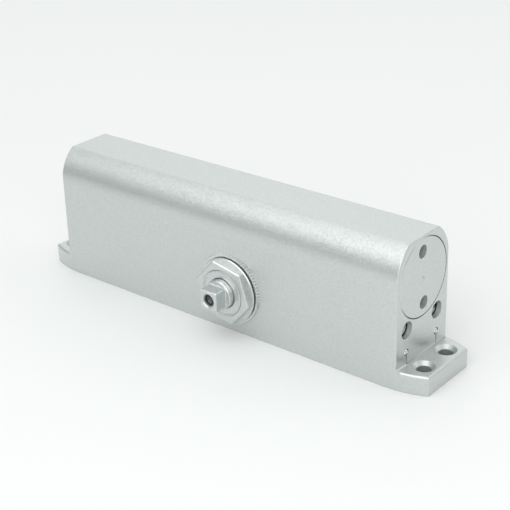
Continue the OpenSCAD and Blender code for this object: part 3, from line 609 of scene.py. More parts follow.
def round_body(bm):
    rounded(bm, outer_edges(bm, on_lug_rim), LUG_EDGE_R, 5)
    end = outer_edges(bm, lambda co: abs(abs(co.x) - END_X) < NEAR and co.z > LUG_T - NEAR)
    rounded(bm, [e for e in end if max(v.co.z for v in e.verts) > LUG_T + NEAR], END_EDGE_R, 3)
    rounded(bm, outer_edges(bm, on_crease), CREASE_R, 3)
    rounded(bm, outer_edges(bm, lambda co: co.z < NEAR), BOTTOM_EDGE_R, 2)
    tips = outer_edges(bm, lambda co: abs(abs(co.x) - TIP_X) < NEAR and co.z < LUG_T)
    rounded(bm, [e for e in tips if rise_of(e) > 1 * MM], BOTTOM_EDGE_R, 2)
    return bm


housing = raw_object("body_shell", round_body(blank))
print("rounded body:", len(housing.data.polygons), "faces")

# %% [markdown]
# Where a lug meets the end face the milling cutter leaves a small hollow corner. It is a strip with
# a quarter round taken out, welded on at each end. A bevel of the inner corner would also have to
# run out into the rounded edges beside it, which it does badly.

# %% Fillets where the lugs meet the end faces
FILLET_R = 0.5 * MM
FILLET_STEPS = 4
FILLET_HALF = 20.2 * MM
FIT = 0.05 * MM


def lug_fillet(side):
    """A hollow strip in the corner, as the milling cutter leaves it."""
    arc = [(FILLET_R * (1 - math.sin(a)), FILLET_R * (1 - math.cos(a)))
           for a in (math.pi / 2 * i / FILLET_STEPS for i in range(FILLET_STEPS + 1))]
    outline = [(-FIT, -FIT), (FILLET_R, -FIT)] + arc + [(-FIT, FILLET_R)]
    bm = placed(prism(outline, 2 * FILLET_HALF), at(0, FILLET_HALF, 0, TO_FRONT))
    bmesh.ops.scale(bm, vec=(side, 1, 1), verts=bm.verts)
    bmesh.ops.translate(bm, vec=(side * END_X, 0, LUG_T), verts=bm.verts)
    return clean(bm)


combine(housing, [lug_fillet(1), lug_fillet(-1)], "UNION")
print("with fillets:", len(housing.data.polygons), "faces")

# %% [markdown]
# The holes are drilled as on the real body: the cylinder right through with a wider screwed mouth
# at each end, the pinion's bore across it, the valve bores, the oil galleries and the four screw
# holes. Most drills are turned solids that flare a little at the surface, so the rim gets the
# small chamfer that catches the light. A function then tells the paint how dark each face in a hole
# is: the mouths of the valve bores are only dusted, the screw holes get a painted shade, and the
# deeper faces are darkened as bare metal and painted shade.

# %% Drill the body
BORE_R = 18.25 * MM
PLUG_THREAD_LEN = 10 * MM
GLAND_BORE_R = 14.05 * MM
GLAND_IN = 14.1 * MM
CROSS_R = 13.1 * MM
RIM = 0.35 * MM
OVER = 2 * MM
SCREW_R = 3.6 * MM
SINK_R = 5.4 * MM
HOLE_X = 115.1 * MM
HOLE_Y = 9.525 * MM
VALVE_MOUTH_R = 4.3 * MM
VALVE_MOUTH_DEPTH = 4 * MM
# Deeper than this the valve bore is darkened as bare metal and painted shade.
VALVE_SHADE_DEPTH = 2.7 * MM
VALVE_THREAD_R = 3.55 * MM
VALVE_THREAD_DEPTH = 11.5 * MM
STEM_R = 2.8 * MM
STEM_DEPTH = 33.5 * MM
GALLERY_Z = 16 * MM
GALLERY_R = 1.5 * MM
BALL_R = 1.7 * MM
BALL_SEAT_DEPTH = 3.4 * MM
DROP_X = 71.25 * MM
DROP_R = 1.25 * MM
SINK_FOOT_Z = LUG_T - SINK_R + SCREW_R
SEAT_R = BALL_R + FIT
SKIN = 0.1 * MM
TOUCH = 0.01 * MM
# Painted shade in the lugs' screw holes, and a light dust with a little painted shade in the valve mouths.
SCREW_HOLE_SHADE = 0.53
VALVE_MOUTH_DUST_AND_SHADE = 0.15


def mouth(radius, face, flare):
    """The end of a drill's profile: a slope that breaks the rim at the face, then straight on."""
    wide = radius + flare + FIT
    return [(radius, face - flare), (wide, face + FIT), (wide, face + OVER)]


def cylinder_drill():
    thread_r = PLUG_R + 0.06 * MM
    rim = 0.12 * MM
    half = [(BORE_R, END_X - PLUG_THREAD_LEN), (thread_r, END_X - PLUG_THREAD_LEN + 0.6 * MM),
            (thread_r, END_X - rim), (thread_r + rim, END_X), (thread_r + rim, END_X + OVER)]
    left = [(r, -x) for r, x in reversed(half)]
    return placed(lathe(left + half, steps=128), at(0, 0, CYLINDER_Z, TO_RIGHT))


def pinion_drill():
    half = [(CROSS_R, GLAND_IN), (GLAND_BORE_R, GLAND_IN), (GLAND_BORE_R, SIDE_Y + OVER)]
    left = [(r, -y) for r, y in reversed(half)]
    return placed(lathe(left + half), at(PINION_X, 0, PINION_Z, TO_FRONT))


def screw_drill(x, y):
    flare = 0.25 * MM
    profile = [(SCREW_R, -OVER), (SCREW_R, SINK_FOOT_Z), (SINK_R - flare, LUG_T - flare),
               (SINK_R + flare, LUG_T + flare), (SINK_R + flare, LUG_T + OVER)]
    return placed(lathe(profile, steps=48), at(x, y, 0))


def valve_drill(y):
    thread_x = END_X - VALVE_THREAD_DEPTH
    mouth_x = END_X - VALVE_MOUTH_DEPTH
    rim_r = VALVE_MOUTH_R + RIM / 2
    profile = [(STEM_R, END_X - STEM_DEPTH), (STEM_R, thread_x), (VALVE_THREAD_R, thread_x),
               (VALVE_THREAD_R, mouth_x), (VALVE_MOUTH_R, mouth_x), (VALVE_MOUTH_R, END_X - VALVE_SHADE_DEPTH),
               (VALVE_MOUTH_R, END_X - RIM / 2), (rim_r, END_X), (rim_r, END_X + OVER)]
    return placed(lathe(profile, steps=64), at(0, y, VALVE_Z, TO_RIGHT))


def gallery_drill(y):
    seat_x = END_X - BALL_SEAT_DEPTH
    profile = [(GALLERY_R, PINION_X), (GALLERY_R, seat_x), (SEAT_R, seat_x)] + mouth(SEAT_R, END_X, 0.15 * MM)
    return placed(lathe(profile, steps=32), at(0, y, GALLERY_Z, TO_RIGHT))


def drop_drill(y):
    seat_z = 2 * BALL_R + 0.6 * MM
    profile = [(SEAT_R, -OVER), (SEAT_R, seat_z), (DROP_R, seat_z), (DROP_R, VALVE_Z)]
    return placed(lathe(profile, steps=32), at(DROP_X, y, 0))


def weep_groove(y):
    """The fine groove that a cutter leaves from a gallery ball down to the lug."""
    foot = LUG_T - GALLERY_Z
    outline = [(-0.55 * MM, 0), (0.55 * MM, 0), (0.2 * MM, foot), (-0.2 * MM, foot)]
    return placed(prism(outline, 2 * OVER), at(END_X - 0.5 * MM, y, GALLERY_Z, TO_RIGHT))


def housing_bare_and_shade(co):
    """How dark a face of the body is painted in one of its holes, as bare metal and painted shade."""
    x, y, z = abs(co.x), abs(co.y), co.z
    valve_bore_shade = 1 if x < END_X - VALVE_SHADE_DEPTH else VALVE_MOUTH_DUST_AND_SHADE
    holes = (
        (y, z - CYLINDER_Z, PLUG_R + SKIN, x < END_X - SKIN, 1),
        (co.x - PINION_X, z - PINION_Z, GLAND_BORE_R + TOUCH, y < SIDE_Y - SKIN, 1),
        (x - HOLE_X, y - HOLE_Y, SCREW_R + TOUCH, SKIN < z < SINK_FOOT_Z, SCREW_HOLE_SHADE),
        (y - VALVE_Y, z - VALVE_Z, VALVE_MOUTH_R + TOUCH, x < END_X - RIM, valve_bore_shade),
        (y - VALVE_Y, z - GALLERY_Z, BALL_R + SKIN, x < END_X - SKIN, 1),
    )
    for across, along, radius, inside, depth in holes:
        if inside and math.hypot(across, along) < radius:
            return depth
    return 0


drills = [cylinder_drill(), pinion_drill()]
drills += [screw_drill(x * HOLE_X, y * HOLE_Y) for x in (-1, 1) for y in (-1, 1)]
for y in (-VALVE_Y, VALVE_Y):
    drills += [valve_drill(y), gallery_drill(y), drop_drill(y), weep_groove(y)]
combine(housing, drills)
finished(housing, body_paint, "housing", "housing", housing_bare_and_shade)

# %% [markdown]
# The end plugs are screwed in flush and painted over, so only a fine seam and two spanner holes
# show. A lathe gives the plug, and two short drills give the holes. The seam is only dusted near
# the face and darkened below as bare metal and painted shade. The wall of a spanner hole is cut
# into short rings, so that its painted shade can grow darker with the depth. The left plug also has
# a hole in its middle for the power screw.

# %% End plugs
PLUG_SEAM = 0.1 * MM
PLUG_SEAM_DEPTH = 1.4 * MM
PLUG_EDGE = 0.45 * MM
PLUG_LEN = plug_high.x - plug_low.x
PLUG_NOSE_R = 18.2 * MM
SPANNER_R = 3.2 * MM
SPANNER_AWAY = 13.2 * MM
SPANNER_DEPTH = 4 * MM
SPANNER_TURN = math.radians(4.3)
GROOVE_AT = 1.2 * MM
GROOVE_W = 3.2 * MM
GROOVE_R = 15.85 * MM
POWER_R = 5 * MM
POWER_FLANGE_R = 8.4 * MM
POWER_FLANGE_DEPTH = 3.6 * MM
# A light dust at the seam's mouth, then painted shade that grows with depth in the spanner holes.
SEAM_DUST_AND_SHADE = 0.1
SPANNER_SHADE_FADE = 0.12 / MM
FADE_RINGS = 4


def plug_body():
    """A plug along Z, from its inner end at 0 to its face."""
    step = PLUG_LEN - PLUG_THREAD_LEN + 0.1 * MM
    face_r = PLUG_R - PLUG_SEAM
    seam = PLUG_LEN - PLUG_SEAM_DEPTH
    profile = [(PLUG_NOSE_R - 0.3 * MM, 0), (PLUG_NOSE_R, 0.3 * MM), (PLUG_NOSE_R, GROOVE_AT),
               (GROOVE_R, GROOVE_AT), (GROOVE_R, GROOVE_AT + GROOVE_W), (PLUG_NOSE_R, GROOVE_AT + GROOVE_W),
               (PLUG_NOSE_R, step), (PLUG_R - 0.5 * MM, step), (PLUG_R, step + 0.5 * MM), (PLUG_R, seam),
               (face_r, seam), (face_r, PLUG_LEN - PLUG_EDGE), (face_r - PLUG_EDGE, PLUG_LEN)]
    return lathe(profile, steps=128)


def spanner_drill(turn):
    low = PLUG_LEN - SPANNER_DEPTH
    wall = [(SPANNER_R, low + SPANNER_DEPTH * i / FADE_RINGS) for i in range(FADE_RINGS)]
    profile = [(0, low - 0.8 * MM)] + wall + mouth(SPANNER_R, PLUG_LEN, 0.25 * MM)
    return placed(lathe(profile, steps=48), at(*polar(SPANNER_AWAY, math.pi / 2 + turn), 0))


def centre_mark():
    """The small hollow that the lathe's centre leaves in the face."""
    return lathe([(0, PLUG_LEN - 0.6 * MM), (1.1 * MM, PLUG_LEN + SKIN)], steps=32)


def power_drill():
    flange_r = POWER_FLANGE_R + FIT
    hole_r = POWER_R + FIT
    profile = [(flange_r, -OVER), (flange_r, POWER_FLANGE_DEPTH), (hole_r, POWER_FLANGE_DEPTH)]
    return lathe(profile + mouth(hole_r, PLUG_LEN, 0.3 * MM), steps=64)


def plug_bare_and_shade(co):
    """How dark a face of a plug is painted in its seam or in a spanner hole, as bare metal and painted shade.
    """
    below = END_X - abs(co.x)
    y = abs(co.y)
    z = abs(co.z - CYLINDER_Z)
    if below > PLUG_EDGE + FIT and math.hypot(y, z) > PLUG_R - PLUG_SEAM - FIT:
        return SEAM_DUST_AND_SHADE if below < PLUG_SEAM_DEPTH - SKIN else 1
    hole_z, hole_y = polar(SPANNER_AWAY, SPANNER_TURN)
    away = math.hypot(y - hole_y, z - hole_z)
    return SPANNER_SHADE_FADE * below if below > 0.3 * MM and away < SPANNER_R + FIT else 0


def end_plug(name, facing, node, extra):
    plug = raw_object(name, plug_body())
    combine(plug, [spanner_drill(SPANNER_TURN), spanner_drill(SPANNER_TURN + math.pi), extra])
    turn_to(plug, at(0, 0, CYLINDER_Z, facing) @ at(0, 0, plug_low.x))
    finished(plug, body_paint, "housing", node, plug_bare_and_shade)


end_plug("plug_with_spanner_holes", TO_RIGHT, "end_plug_right", centre_mark())
end_plug("plug_with_power_screw", TO_LEFT, "end_plug_left", power_drill())

# %% [markdown]
# The gland stands on each flat side: a serrated washer, a dark rubber ring, then a hexagon nut with
# a round collar, and a flat bush in the face of the nut. The two sets are mirror images, so each
# function takes the side as a matrix. The hexagon's edges are bevelled and its corners turned off
# a little, as on a nut cut from bar.

# %% Gland nut
COLLAR_R = nut_high.x - PINION_X
FACE_Y = nut_high.y
HEX_AF = 29.4 * MM
HEX_T = 3.4 * MM
COLLAR_T = 0.8 * MM
HEX_R = HEX_AF / 2 / math.cos(math.pi / 6)
HEX_Y = FACE_Y - HEX_T
HEX_TURN = math.radians(-11.5)
HEX_EDGE = 0.5 * MM
HEX_CORNER = 0.25 * MM
GLAND_R = 14 * MM
SHELL_BORE_R = 11.93 * MM
SHELL_LIP_R = 10.24 * MM
BUSH_R = (bush_high.x - bush_low.x) / 2
BUSH_Y = bush_low.y


def hexagon():
    corners = [polar(HEX_R, HEX_TURN + i * math.pi / 3) for i in range(6)]
    bm = placed(prism(corners, HEX_T), at(0, 0, HEX_Y))
    rounded(bm, [e for e in bm.edges if rise_of(e) > HEX_T / 2], HEX_CORNER, 2)
    return rounded(bm, outer_edges(bm, lambda co: co.z > FACE_Y - NEAR), HEX_EDGE, 1)


def collar_and_spigot():
    collar_y = HEX_Y - COLLAR_T
    edge = 0.35 * MM
    return lathe([(SHELL_LIP_R, GLAND_IN), (GLAND_R - 0.5 * MM, GLAND_IN), (GLAND_R, GLAND_IN + 0.5 * MM),
                  (GLAND_R, collar_y), (COLLAR_R - SKIN, collar_y), (COLLAR_R, collar_y + SKIN),
                  (COLLAR_R, HEX_Y - edge), (COLLAR_R - edge, HEX_Y),
                  (SHELL_LIP_R, HEX_Y + 0.2 * MM)], ring=True)


def nut_drill():
    deep = GLAND_IN + 0.6 * MM
    bush_r = BUSH_R + FIT
    return lathe([(SHELL_LIP_R, GLAND_IN - OVER), (SHELL_LIP_R, deep), (SHELL_BORE_R, deep),
                  (SHELL_BORE_R, BUSH_Y - FIT), (bush_r, BUSH_Y - FIT)] + mouth(bush_r, FACE_Y, 0.2 * MM))


def gland_nut(name, facing, node):
    nut = raw_object(name, collar_and_spigot())
    combine(nut, [hexagon()], "UNION")
    combine(nut, [nut_drill()])
    turn_to(nut, at(PINION_X, 0, PINION_Z, facing))
    finished(nut, nut_paint, "housing", node)


for side_name, facing in SIDES:
    gland_nut("hex_nut_" + side_name, facing, "gland_nut_" + side_name)

# %% [markdown]
# The washer's edge is cut into fine teeth. Its outline goes from tip to root with a point halfway
# down each flank, so the faces beside a root can be given a painted shade, and the painted dark roots
# between bright tips make each tooth show. The rubber ring behind the collar bulges, and the outer
# edge of the bush is rolled up into a round bead.

# %% Serrated washer, rubber ring and bush
SERRATIONS = 72
TOOTH_DEPTH = 0.5 * MM
TOOTH_SHAPE = (0, 0.5, 1, 0.5)
ROOT_SHADE = 0.25
WASHER_R = (washer_high.x - washer_low.x) / 2
WASHER_Y = washer_low.y
WASHER_T = washer_high.y - washer_low.y
NECK_R = 7.75 * MM
BUSH_HOLE_R = NECK_R + 0.22 * MM
BUSH_RIM_W = 1.0 * MM
BUSH_RIM_Y = bush_high.y
RIM_STEPS = 6


def from_axis(co):
    return math.hypot(co.x - PINION_X, co.z - PINION_Z)


def serrated_washer(name, facing, node):
    outline = []
    for i in range(len(TOOTH_SHAPE) * SERRATIONS):
        radius = WASHER_R - TOOTH_DEPTH * TOOTH_SHAPE[i % len(TOOTH_SHAPE)]
        outline.append(polar(radius, 2 * math.pi * i / SERRATIONS / len(TOOTH_SHAPE)))
    bm = prism(outline, WASHER_T)
    rim = [e for e in bm.edges if both(e, lambda co: co.z > WASHER_T - NEAR)]
    rounded(bm, rim, 0.2 * MM, 2)
    washer = raw_object(name, bm)
    hole_r = GLAND_R + 0.15 * MM
    combine(washer, [lathe([(hole_r, -OVER), (hole_r, OVER + WASHER_T)])])
    turn_to(washer, at(PINION_X, 0, PINION_Z, facing) @ at(0, 0, WASHER_Y))

    def bare_and_shade_at(co):
        # Painted shade in the roots between the teeth.
        at_root = abs(from_axis(co) - (WASHER_R - TOOTH_DEPTH)) < TOOTH_DEPTH / 2
        return ROOT_SHADE if at_root else 0

    finished(washer, washer_zinc, "housing", node, bare_and_shade_at)


def rubber_ring(name, facing, node):
    low, high, _ = box_of(node)
    width = high.y - low.y
    outer = (high.x - low.x) / 2
    inner = GLAND_R + 0.2 * MM
    start = min(abs(low.y), abs(high.y))
    bulge = 0.12 * MM
    bm = lathe([(inner, start), (outer - bulge, start), (outer, start + width / 2),
                (outer - bulge, start + width), (inner, start + width)], ring=True)
    ring = raw_object(name, placed(bm, at(PINION_X, 0, PINION_Z, facing)))
    finished(ring, black_rubber, "housing", node)


def seal_bush(name, facing, node):
    edge = 0.2 * MM
    middle = BUSH_R - BUSH_RIM_W / 2
    rise = BUSH_RIM_Y - FACE_Y
    bead = [(middle + BUSH_RIM_W / 2 * math.cos(a), FACE_Y + rise * math.sin(a))
            for a in (math.pi * i / RIM_STEPS for i in range(RIM_STEPS + 1))]
    bm = lathe([(BUSH_HOLE_R, BUSH_Y), (BUSH_R, BUSH_Y)] + bead +
               [(BUSH_HOLE_R + edge, FACE_Y), (BUSH_HOLE_R, FACE_Y - edge)], ring=True, steps=128)
    bush = raw_object(name, placed(bm, at(PINION_X, 0, PINION_Z, facing)))

    def bare_and_shade_at(co):
        # Painted shade on the wall of the bush's hole, in the narrow gap round the shaft.
        return 1 if from_axis(co) < BUSH_HOLE_R + FIT and abs(co.y) < FACE_Y - edge else 0

    finished(bush, nut_paint, "housing", node, bare_and_shade_at)


for side_name, facing in SIDES:
    serrated_washer("toothed_washer_" + side_name, facing, "gland_washer_" + side_name)
    rubber_ring("gasket_ring_" + side_name, facing, "gland_ring_" + side_name)
    seal_bush("face_bush_" + side_name, facing, "seal_bush_" + side_name)

# %% [markdown]
# The pinion is one turned shaft with ten teeth cut in its middle and a milled and tapped square at
# each end. The tooth flanks are involutes, worked out from the base circle. Paint covers only what
# stands outside the nut: the rest of the shaft is darkened as bare metal and painted shade.

# %% Pinion shaft
GEAR_MODULE = 2 * MM
GEAR_TEETH = 10
PRESSURE = math.radians(20)
SHIFT = 0.4
BACKLASH = 0.15 * MM
GEAR_HALF_W = 12 * MM
JOURNAL_R = 8.8 * MM
JOURNAL_Y = BUSH_Y - 0.3 * MM
NECK_Y = SIDE_Y + 9.2 * MM
NECK_CHAMFER = 0.5 * MM
SQUARE_W = 10.2 * MM
SQUARE_Y = shaft_high.y
SQUARE_EDGE = 0.4 * MM
SQUARE_FOOT = 0.35 * MM
TAP_R = 2.5 * MM
TAP_DEPTH = 13 * MM
TAP_MOUTH_R = 3.7 * MM
# Inside these radii the mouth of a tapped hole is painted grey and then dark: painted shade.
TAP_GREY_R = 3.4 * MM
TAP_DARK_R = 3 * MM
TAP_GREY_AT = 0.35 * MM
TAP_DARK_AT = 0.8 * MM
TAP_TIP = 1.2 * MM
TAP_RING_SHADE = 0.4
THREAD_PITCH = 1 * MM
THREAD_HEIGHT = 0.45 * MM
FLANK_STEPS = 8

pitch_r = GEAR_MODULE * GEAR_TEETH / 2
base_r = pitch_r * math.cos(PRESSURE)
tip_r = pitch_r + GEAR_MODULE * (0.9 + SHIFT)
root_r = pitch_r + GEAR_MODULE * (SHIFT - 1.25)
tooth_w = GEAR_MODULE * (math.pi / 2 + 2 * SHIFT * math.tan(PRESSURE)) - BACKLASH
half_base = tooth_w / pitch_r / 2 + math.tan(PRESSURE) - PRESSURE
tip_roll = math.sqrt((tip_r / base_r) ** 2 - 1)


def tooth_side(sign, middle):
    """One flank, from the root to the tip."""
    points = [(root_r, middle + sign * half_base)]
    for i in range(FLANK_STEPS + 1):
        roll = tip_roll * i / FLANK_STEPS
        turn = half_base - roll + math.atan(roll)
        points.append((base_r * math.sqrt(1 + roll ** 2), middle + sign * turn))
    return points


def gear_outline():
    points = []
    for k in range(GEAR_TEETH):
        middle = math.pi / 2 + 2 * math.pi * k / GEAR_TEETH
        points += tooth_side(-1, middle) + tooth_side(1, middle)[::-1]
    return [polar(*point) for point in points]


def square_end():
    bm = bar(SQUARE_W, SQUARE_W, SQUARE_Y)
    rounded(bm, [e for e in bm.edges if rise_of(e) > SQUARE_Y / 2], SQUARE_EDGE, 1)
    return rounded(bm, outer_edges(bm, lambda co: co.z > SQUARE_Y - NEAR), SQUARE_EDGE, 1)


def square_foot():
    """The small slope that the cutter leaves around the foot of the square."""
    half = SQUARE_W / 2 + SQUARE_FOOT
    slope = bmesh.new()
    bmesh.ops.create_cone(slope, cap_ends=True, segments=4, radius1=(half + SQUARE_FOOT) * math.sqrt(2),
                          radius2=(half - SQUARE_FOOT) * math.sqrt(2), depth=2 * SQUARE_FOOT)
    placed(slope, at(0, 0, NECK_Y) @ Matrix.Rotation(math.pi / 4, 4, "Z"))
    foot = raw_object("foot", clean(slope))
    inside = NECK_R - NECK_CHAMFER - FIT
    combine(foot, [lathe([(inside, NECK_Y - OVER), (inside, NECK_Y + OVER)])], "INTERSECT")
    bm = bmesh.new()
    bm.from_mesh(foot.data)
    bpy.data.objects.remove(foot)
    return bm


def journal():
    edge = NECK_Y - NECK_CHAMFER
    return lathe([(JOURNAL_R, 0), (JOURNAL_R, JOURNAL_Y - 0.2 * MM), (JOURNAL_R - 0.2 * MM, JOURNAL_Y),
                  (NECK_R, JOURNAL_Y), (NECK_R, edge - SKIN), (NECK_R - 0.08 * MM, edge + FIT),
                  (NECK_R - NECK_CHAMFER, NECK_Y)])


def tap_drill():
    low = SQUARE_Y - TAP_DEPTH
    foot = SQUARE_Y - (TAP_MOUTH_R - TAP_R)
    return lathe([(0, low - TAP_TIP), (TAP_R, low), (TAP_R, foot), (TAP_DARK_R, foot + TAP_DARK_R - TAP_R),
                  (TAP_GREY_R, foot + TAP_GREY_R - TAP_R), (TAP_MOUTH_R, SQUARE_Y),
                  (TAP_MOUTH_R + OVER, SQUARE_Y + OVER)], steps=48)


def shaft_bare_and_shade(co):
    """Bare metal and painted shade where the shaft runs inside the nut and deep in its tapped holes, with a
    grey ring of painted shade at their mouths.
    """
    away = from_axis(co)
    below = SQUARE_Y - abs(co.y)
    if abs(co.y) < FACE_Y - 0.3 * MM or (away < TAP_DARK_R and TAP_DARK_AT < below < TAP_DEPTH + TAP_TIP):
        return 1
    return TAP_RING_SHADE if away < TAP_GREY_R and TAP_GREY_AT < below < TAP_DARK_AT else 0


def pinion():
    gear = prism(gear_outline(), 2 * GEAR_HALF_W)
    shaft = raw_object("toothed_shaft", placed(gear, at(0, -GEAR_HALF_W, 0, TO_REAR)))
    for _, facing in SIDES:
        for shape in (journal, square_end, square_foot):
            combine(shaft, [placed(shape(), facing)], "UNION")
        combine(shaft, [placed(tap_drill(), facing)])
    shaft.data.transform(at(PINION_X, 0, PINION_Z))
    finished(shaft, shaft_paint, "pinion", "pinion_shaft", shaft_bare_and_shade)


pinion()

# %% [markdown]
# The thread is a small triangle, spun about the axis while it climbs. It lies against the wall of
# the hole as a piece of its own, because a thread cut by a Boolean is slow and easily tears. Its
# dark finish stands for oiled steel and for the painted shade deep in the hole.

# %% Thread in the square ends
THREAD_STEPS = 32
THREAD_FOOT = 0.84 * THREAD_PITCH


def tapped_thread(name, facing):
    """A sharp ridge up the wall of the hole, from near the bottom to the mouth."""
    turns = int((TAP_DEPTH - 2.4 * MM) / THREAD_PITCH)
    start = SQUARE_Y - TAP_DEPTH + 0.4 * MM
    root = TAP_R + 0.02 * MM
    bm = bmesh.new()
    verts = [bm.verts.new(p) for p in ((root, 0, start), (root - THREAD_HEIGHT, 0, start + THREAD_FOOT / 2),
                                       (root, 0, start + THREAD_FOOT))]
    edges = [bm.edges.new((verts[i], verts[(i + 1) % 3])) for i in range(3)]
    bmesh.ops.spin(bm, geom=verts + edges, cent=(0, 0, 0), axis=(0, 0, 1), angle=2 * math.pi * turns,
                   steps=THREAD_STEPS * turns, dvec=(0, 0, THREAD_PITCH / THREAD_STEPS), use_merge=False)
    bmesh.ops.remove_doubles(bm, verts=bm.verts, dist=1e-7)
    bmesh.ops.holes_fill(bm, edges=[e for e in bm.edges if e.is_boundary], sides=3)
    thread = raw_object(name, placed(bm, at(PINION_X, 0, PINION_Z, facing)))
    thread.data.materials.append(spring_steel)
    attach(thread, "pinion")
    print(name, "turns:", turns)


for side_name, facing in SIDES:
    tapped_thread("arm_screw_thread_" + side_name, facing)

# %% [markdown]
# The two regulating valves are slotted screws, sunk in wider bores. Only their heads show, so the
# head gets a broken edge and a slot with clean walls, and the stem behind keeps its real steps.
# The slots stand at different angles, because each valve is set for itself.

# %% Regulating valves
HEAD_X = valve_high.x
VALVE_IN_X = valve_low.x
VALVE_R = (valve_high.y - valve_low.y) / 2
SLOT_W = 1.3 * MM
SLOT_DEPTH = 1.8 * MM
LAND_R = 2.75 * MM
RING_FLOOR_R = 1.6 * MM
NEEDLE_R = 1.6 * MM
LAND_X = 91.5 * MM
VALVE_THREAD_X = 97 * MM
RING_X = 93 * MM
RING_W = 1.8 * MM
HEAD_EDGE = 0.4 * MM
SLOT_SHADE = 0.9
NEAR_SLOT_TURN = math.radians(-35)
FAR_SLOT_TURN = math.radians(95)


def valve_shade(co):
    """Painted shade in the slot and behind the head."""
    return SLOT_SHADE if co.x < HEAD_X - HEAD_EDGE - FIT else 0


def valve_screw(name, node, y, slot_turn):
    needle = [(0.5 * MM, VALVE_IN_X), (1.2 * MM, VALVE_IN_X + 3 * MM),
              (NEEDLE_R, VALVE_IN_X + 3.1 * MM), (NEEDLE_R, LAND_X)]
    stem = [(LAND_R, LAND_X), (LAND_R, RING_X), (RING_FLOOR_R, RING_X), (RING_FLOOR_R, RING_X + RING_W),
            (LAND_R, RING_X + RING_W), (LAND_R, VALVE_THREAD_X), (VALVE_R, VALVE_THREAD_X)]
    head = [(VALVE_R, HEAD_X - HEAD_EDGE), (VALVE_R - 0.3 * HEAD_EDGE, HEAD_X - 0.3 * HEAD_EDGE),
            (VALVE_R - HEAD_EDGE, HEAD_X)]
    bm = lathe(needle + stem + head, steps=64)
    valve = raw_object(name, placed(bm, at(0, y, VALVE_Z, TO_RIGHT)))
    slot = bar(SLOT_W, 4 * VALVE_R, 2 * SLOT_DEPTH)
    turn = Matrix.Rotation(slot_turn, 4, "Z")
    combine(valve, [placed(slot, at(HEAD_X - SLOT_DEPTH, y, VALVE_Z, TO_RIGHT) @ turn)])
    finished(valve, shaft_paint, node, node, valve_shade)


valve_screw("slotted_valve_near", "closing_valve", -VALVE_Y, NEAR_SLOT_TURN)
valve_screw("slotted_valve_far", "latch_valve", VALVE_Y, FAR_SLOT_TURN)

# %% [markdown]
# The power screw sits in the middle of the left plug and sets how hard the springs are loaded. It
# is turned like the valves, with a flange inside the plug and a groove for its rubber ring, and a
# six-sided prism cuts the socket for the key.

# %% Power screw
SOCKET_AF = 5 * MM
SOCKET_DEPTH = 5 * MM
POWER_FLANGE_T = 3.5 * MM
POWER_GROOVE_R = 3.25 * MM
POWER_GROOVE_W = 2.3 * MM
POWER_GROOVE_AT = 6.5 * MM
screw_low, screw_high, _ = box_of("power_screw")


def power_screw():
    outer = -screw_low.x
    inner = -screw_high.x
    flange = plug_low.x + POWER_FLANGE_T
    groove = outer - POWER_GROOVE_AT
    foot = groove - POWER_GROOVE_W
    bm = lathe([(POWER_R - 0.6 * MM, inner), (POWER_R, inner + 0.6 * MM), (POWER_R, plug_low.x),
                (POWER_FLANGE_R, plug_low.x), (POWER_FLANGE_R, flange), (POWER_R, flange), (POWER_R, foot),
                (POWER_GROOVE_R, foot), (POWER_GROOVE_R, groove), (POWER_R, groove),
                (POWER_R, outer - 0.5 * MM), (POWER_R - 0.5 * MM, outer)], steps=64)
    screw = raw_object("adjusting_screw", placed(bm, at(0, 0, CYLINDER_Z, TO_LEFT)))
    socket = bmesh.new()
    bmesh.ops.create_cone(socket, cap_ends=True, segments=6, radius1=SOCKET_AF / math.sqrt(3),
                          radius2=SOCKET_AF / math.sqrt(3), depth=2 * SOCKET_DEPTH)
    combine(screw, [placed(socket, at(screw_low.x, 0, CYLINDER_Z, TO_LEFT))])
    finished(screw, shaft_paint, "power_screw", "power_screw")


power_screw()

# %% [markdown]
# What is left keeps the frame's own solids and takes a finish by its material slot: the needles,
# the shells, the piston, the balls and the rubber rings. The springs shorten as a joint moves, but
# here each is a welded copy of its coil in dark spring steel, hung on a body.

# %% Finish the pieces inside
FINISHES = {"black_rubber": black_rubber, "ground_steel": ground_steel, "turned_steel": turned_steel,
            "bronze": bronze, "bright_ball": bright_steel}
slots = {part["node"]: part["material_slot"] for part in frame["record"]["subparts"]}


def coil_copy(name, node, body):
    """A welded copy of a spring's coil, hung on a body."""
    bm = bmesh.new()
    bm.from_mesh(frame["nodes"][node].data)
    bmesh.ops.remove_doubles(bm, verts=bm.verts, dist=1e-6)
    spring = raw_object(name, bm)
    spring.data.materials.clear()
    spring.data.materials.append(spring_steel)
    spring.data.shade_smooth()
    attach(spring, body)
    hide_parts(node)
    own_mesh(spring)


for coil in ("_outer", "_inner"):
    coil_copy("closing_spring" + coil, "main_spring" + coil, "spring_seat")
coil_copy("ball_spring", "check_spring", "piston")
kept = 0
for name, node in frame["nodes"].items():
    if not node.hide_render:
        node.data.materials.clear()
        node.data.materials.append(FINISHES[slots[name]])
        kept += 1
print("frame solids kept and finished:", kept)

# %% [markdown]
# The studio is a plain white floor and one large soft lamp, behind the camera and a little above
# it. The floor matters as much as the lamp: the flat side looks down on it, so most of what that
# side mirrors is white floor. A grey floor would turn the whole side dark.

# %% Floor and light
FLOOR_HALF = 3.0
FLOOR_Z = -0.02 * MM
FLOOR_SHADES = ((0.79, 0.80, 0.79), (0.81, 0.82, 0.81))
LAMP_PLACE = Vector((0.55, -0.75, 0.50))
LAMP_AIM = Vector((0.05, 0, 0.03))
LAMP_SIZE = (1.0, 0.8)
LAMP_WATTS = 4.1


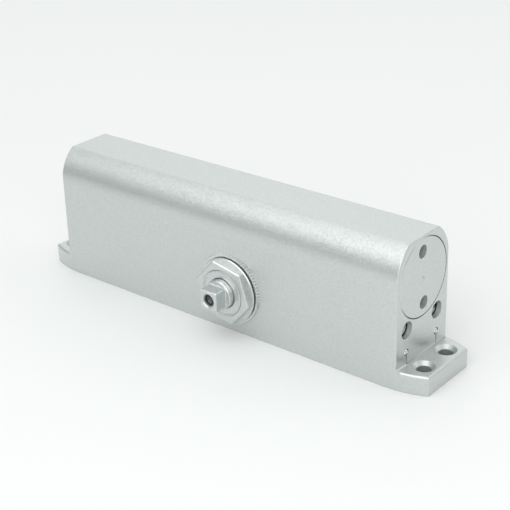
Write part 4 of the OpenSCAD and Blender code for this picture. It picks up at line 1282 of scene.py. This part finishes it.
floor_mesh = bmesh.new()
bmesh.ops.create_grid(floor_mesh, x_segments=1, y_segments=1, size=FLOOR_HALF)
bmesh.ops.translate(floor_mesh, vec=(0, 0, FLOOR_Z), verts=floor_mesh.verts)
floor = raw_object("studio_floor", floor_mesh)
material, tree, principled, place = shader("studio_white")
tree.links.new(tinted(tree, noise(tree, place, 3, 2), *FLOOR_SHADES), principled.inputs["Base Color"])
principled.inputs["Roughness"].default_value = 0.7
floor.data.materials.append(material)

lamp_data = bpy.data.lights.new("front_lamp", "AREA")
lamp_data.shape = "RECTANGLE"
lamp_data.size, lamp_data.size_y = LAMP_SIZE
lamp_data.energy = LAMP_WATTS
lamp = bpy.data.objects.new("front_lamp", lamp_data)
lamp.location = LAMP_PLACE
lamp.rotation_euler = (LAMP_AIM - LAMP_PLACE).to_track_quat("-Z", "Y").to_euler()
bpy.context.scene.collection.objects.link(lamp)
print("lamp at", list(LAMP_PLACE), "with", LAMP_WATTS, "W")

# %% [markdown]
# Around the lamp stands a light tent. A world of one strength would light all flats alike, so the
# tent is made of a few wide panels: each is brightest along its own direction and fades by a power
# of the angle's cosine. The high panel in front on the left lays the bright band along the
# shoulder, and the panels behind the closer give the top, the lugs and the nut's flats their cool
# reflections. The last three are faint and low, for the views from the other sides.

# %% Light tent
SKY_TINT = (0.965, 0.98, 0.985)
TENT_PANELS = (
    ((0, 0, 1), 4, 1.55),
    ((-0.58, 0.69, 0.43), 5, 1.0),
    ((0.56, 0.66, 0.50), 12, 1.15),
    ((-0.28, -0.72, 0.64), 10, 2.1),
    ((0.45, -0.80, 0.40), 5, 0.24),
    ((-1, -0.1, 0.25), 6, 0.4),
    ((1, 0.1, 0.25), 6, 0.4),
    ((0, 1, 0.15), 6, 0.4),
)

world = bpy.data.worlds.new("studio")
bpy.context.scene.world = world
world.use_nodes = True
sky = world.node_tree
towards = sky.nodes.new("ShaderNodeTexCoord").outputs["Generated"]
brightness = 0.0
for axis, power, strength in TENT_PANELS:
    facing_panel = vector_node(sky, "DOT_PRODUCT", towards, Vector(axis).normalized())["Value"]
    lobe = math_node(sky, "POWER", math_node(sky, "MAXIMUM", facing_panel, 0.0), power)
    brightness = math_node(sky, "MULTIPLY_ADD", lobe, strength, brightness)
sky.links.new(brightness, sky.nodes["Background"].inputs["Strength"])
sky.nodes["Background"].inputs["Color"].default_value = (*SKY_TINT, 1)
bpy.context.scene.view_settings.view_transform = "Standard"
print("panels:", len(TENT_PANELS))
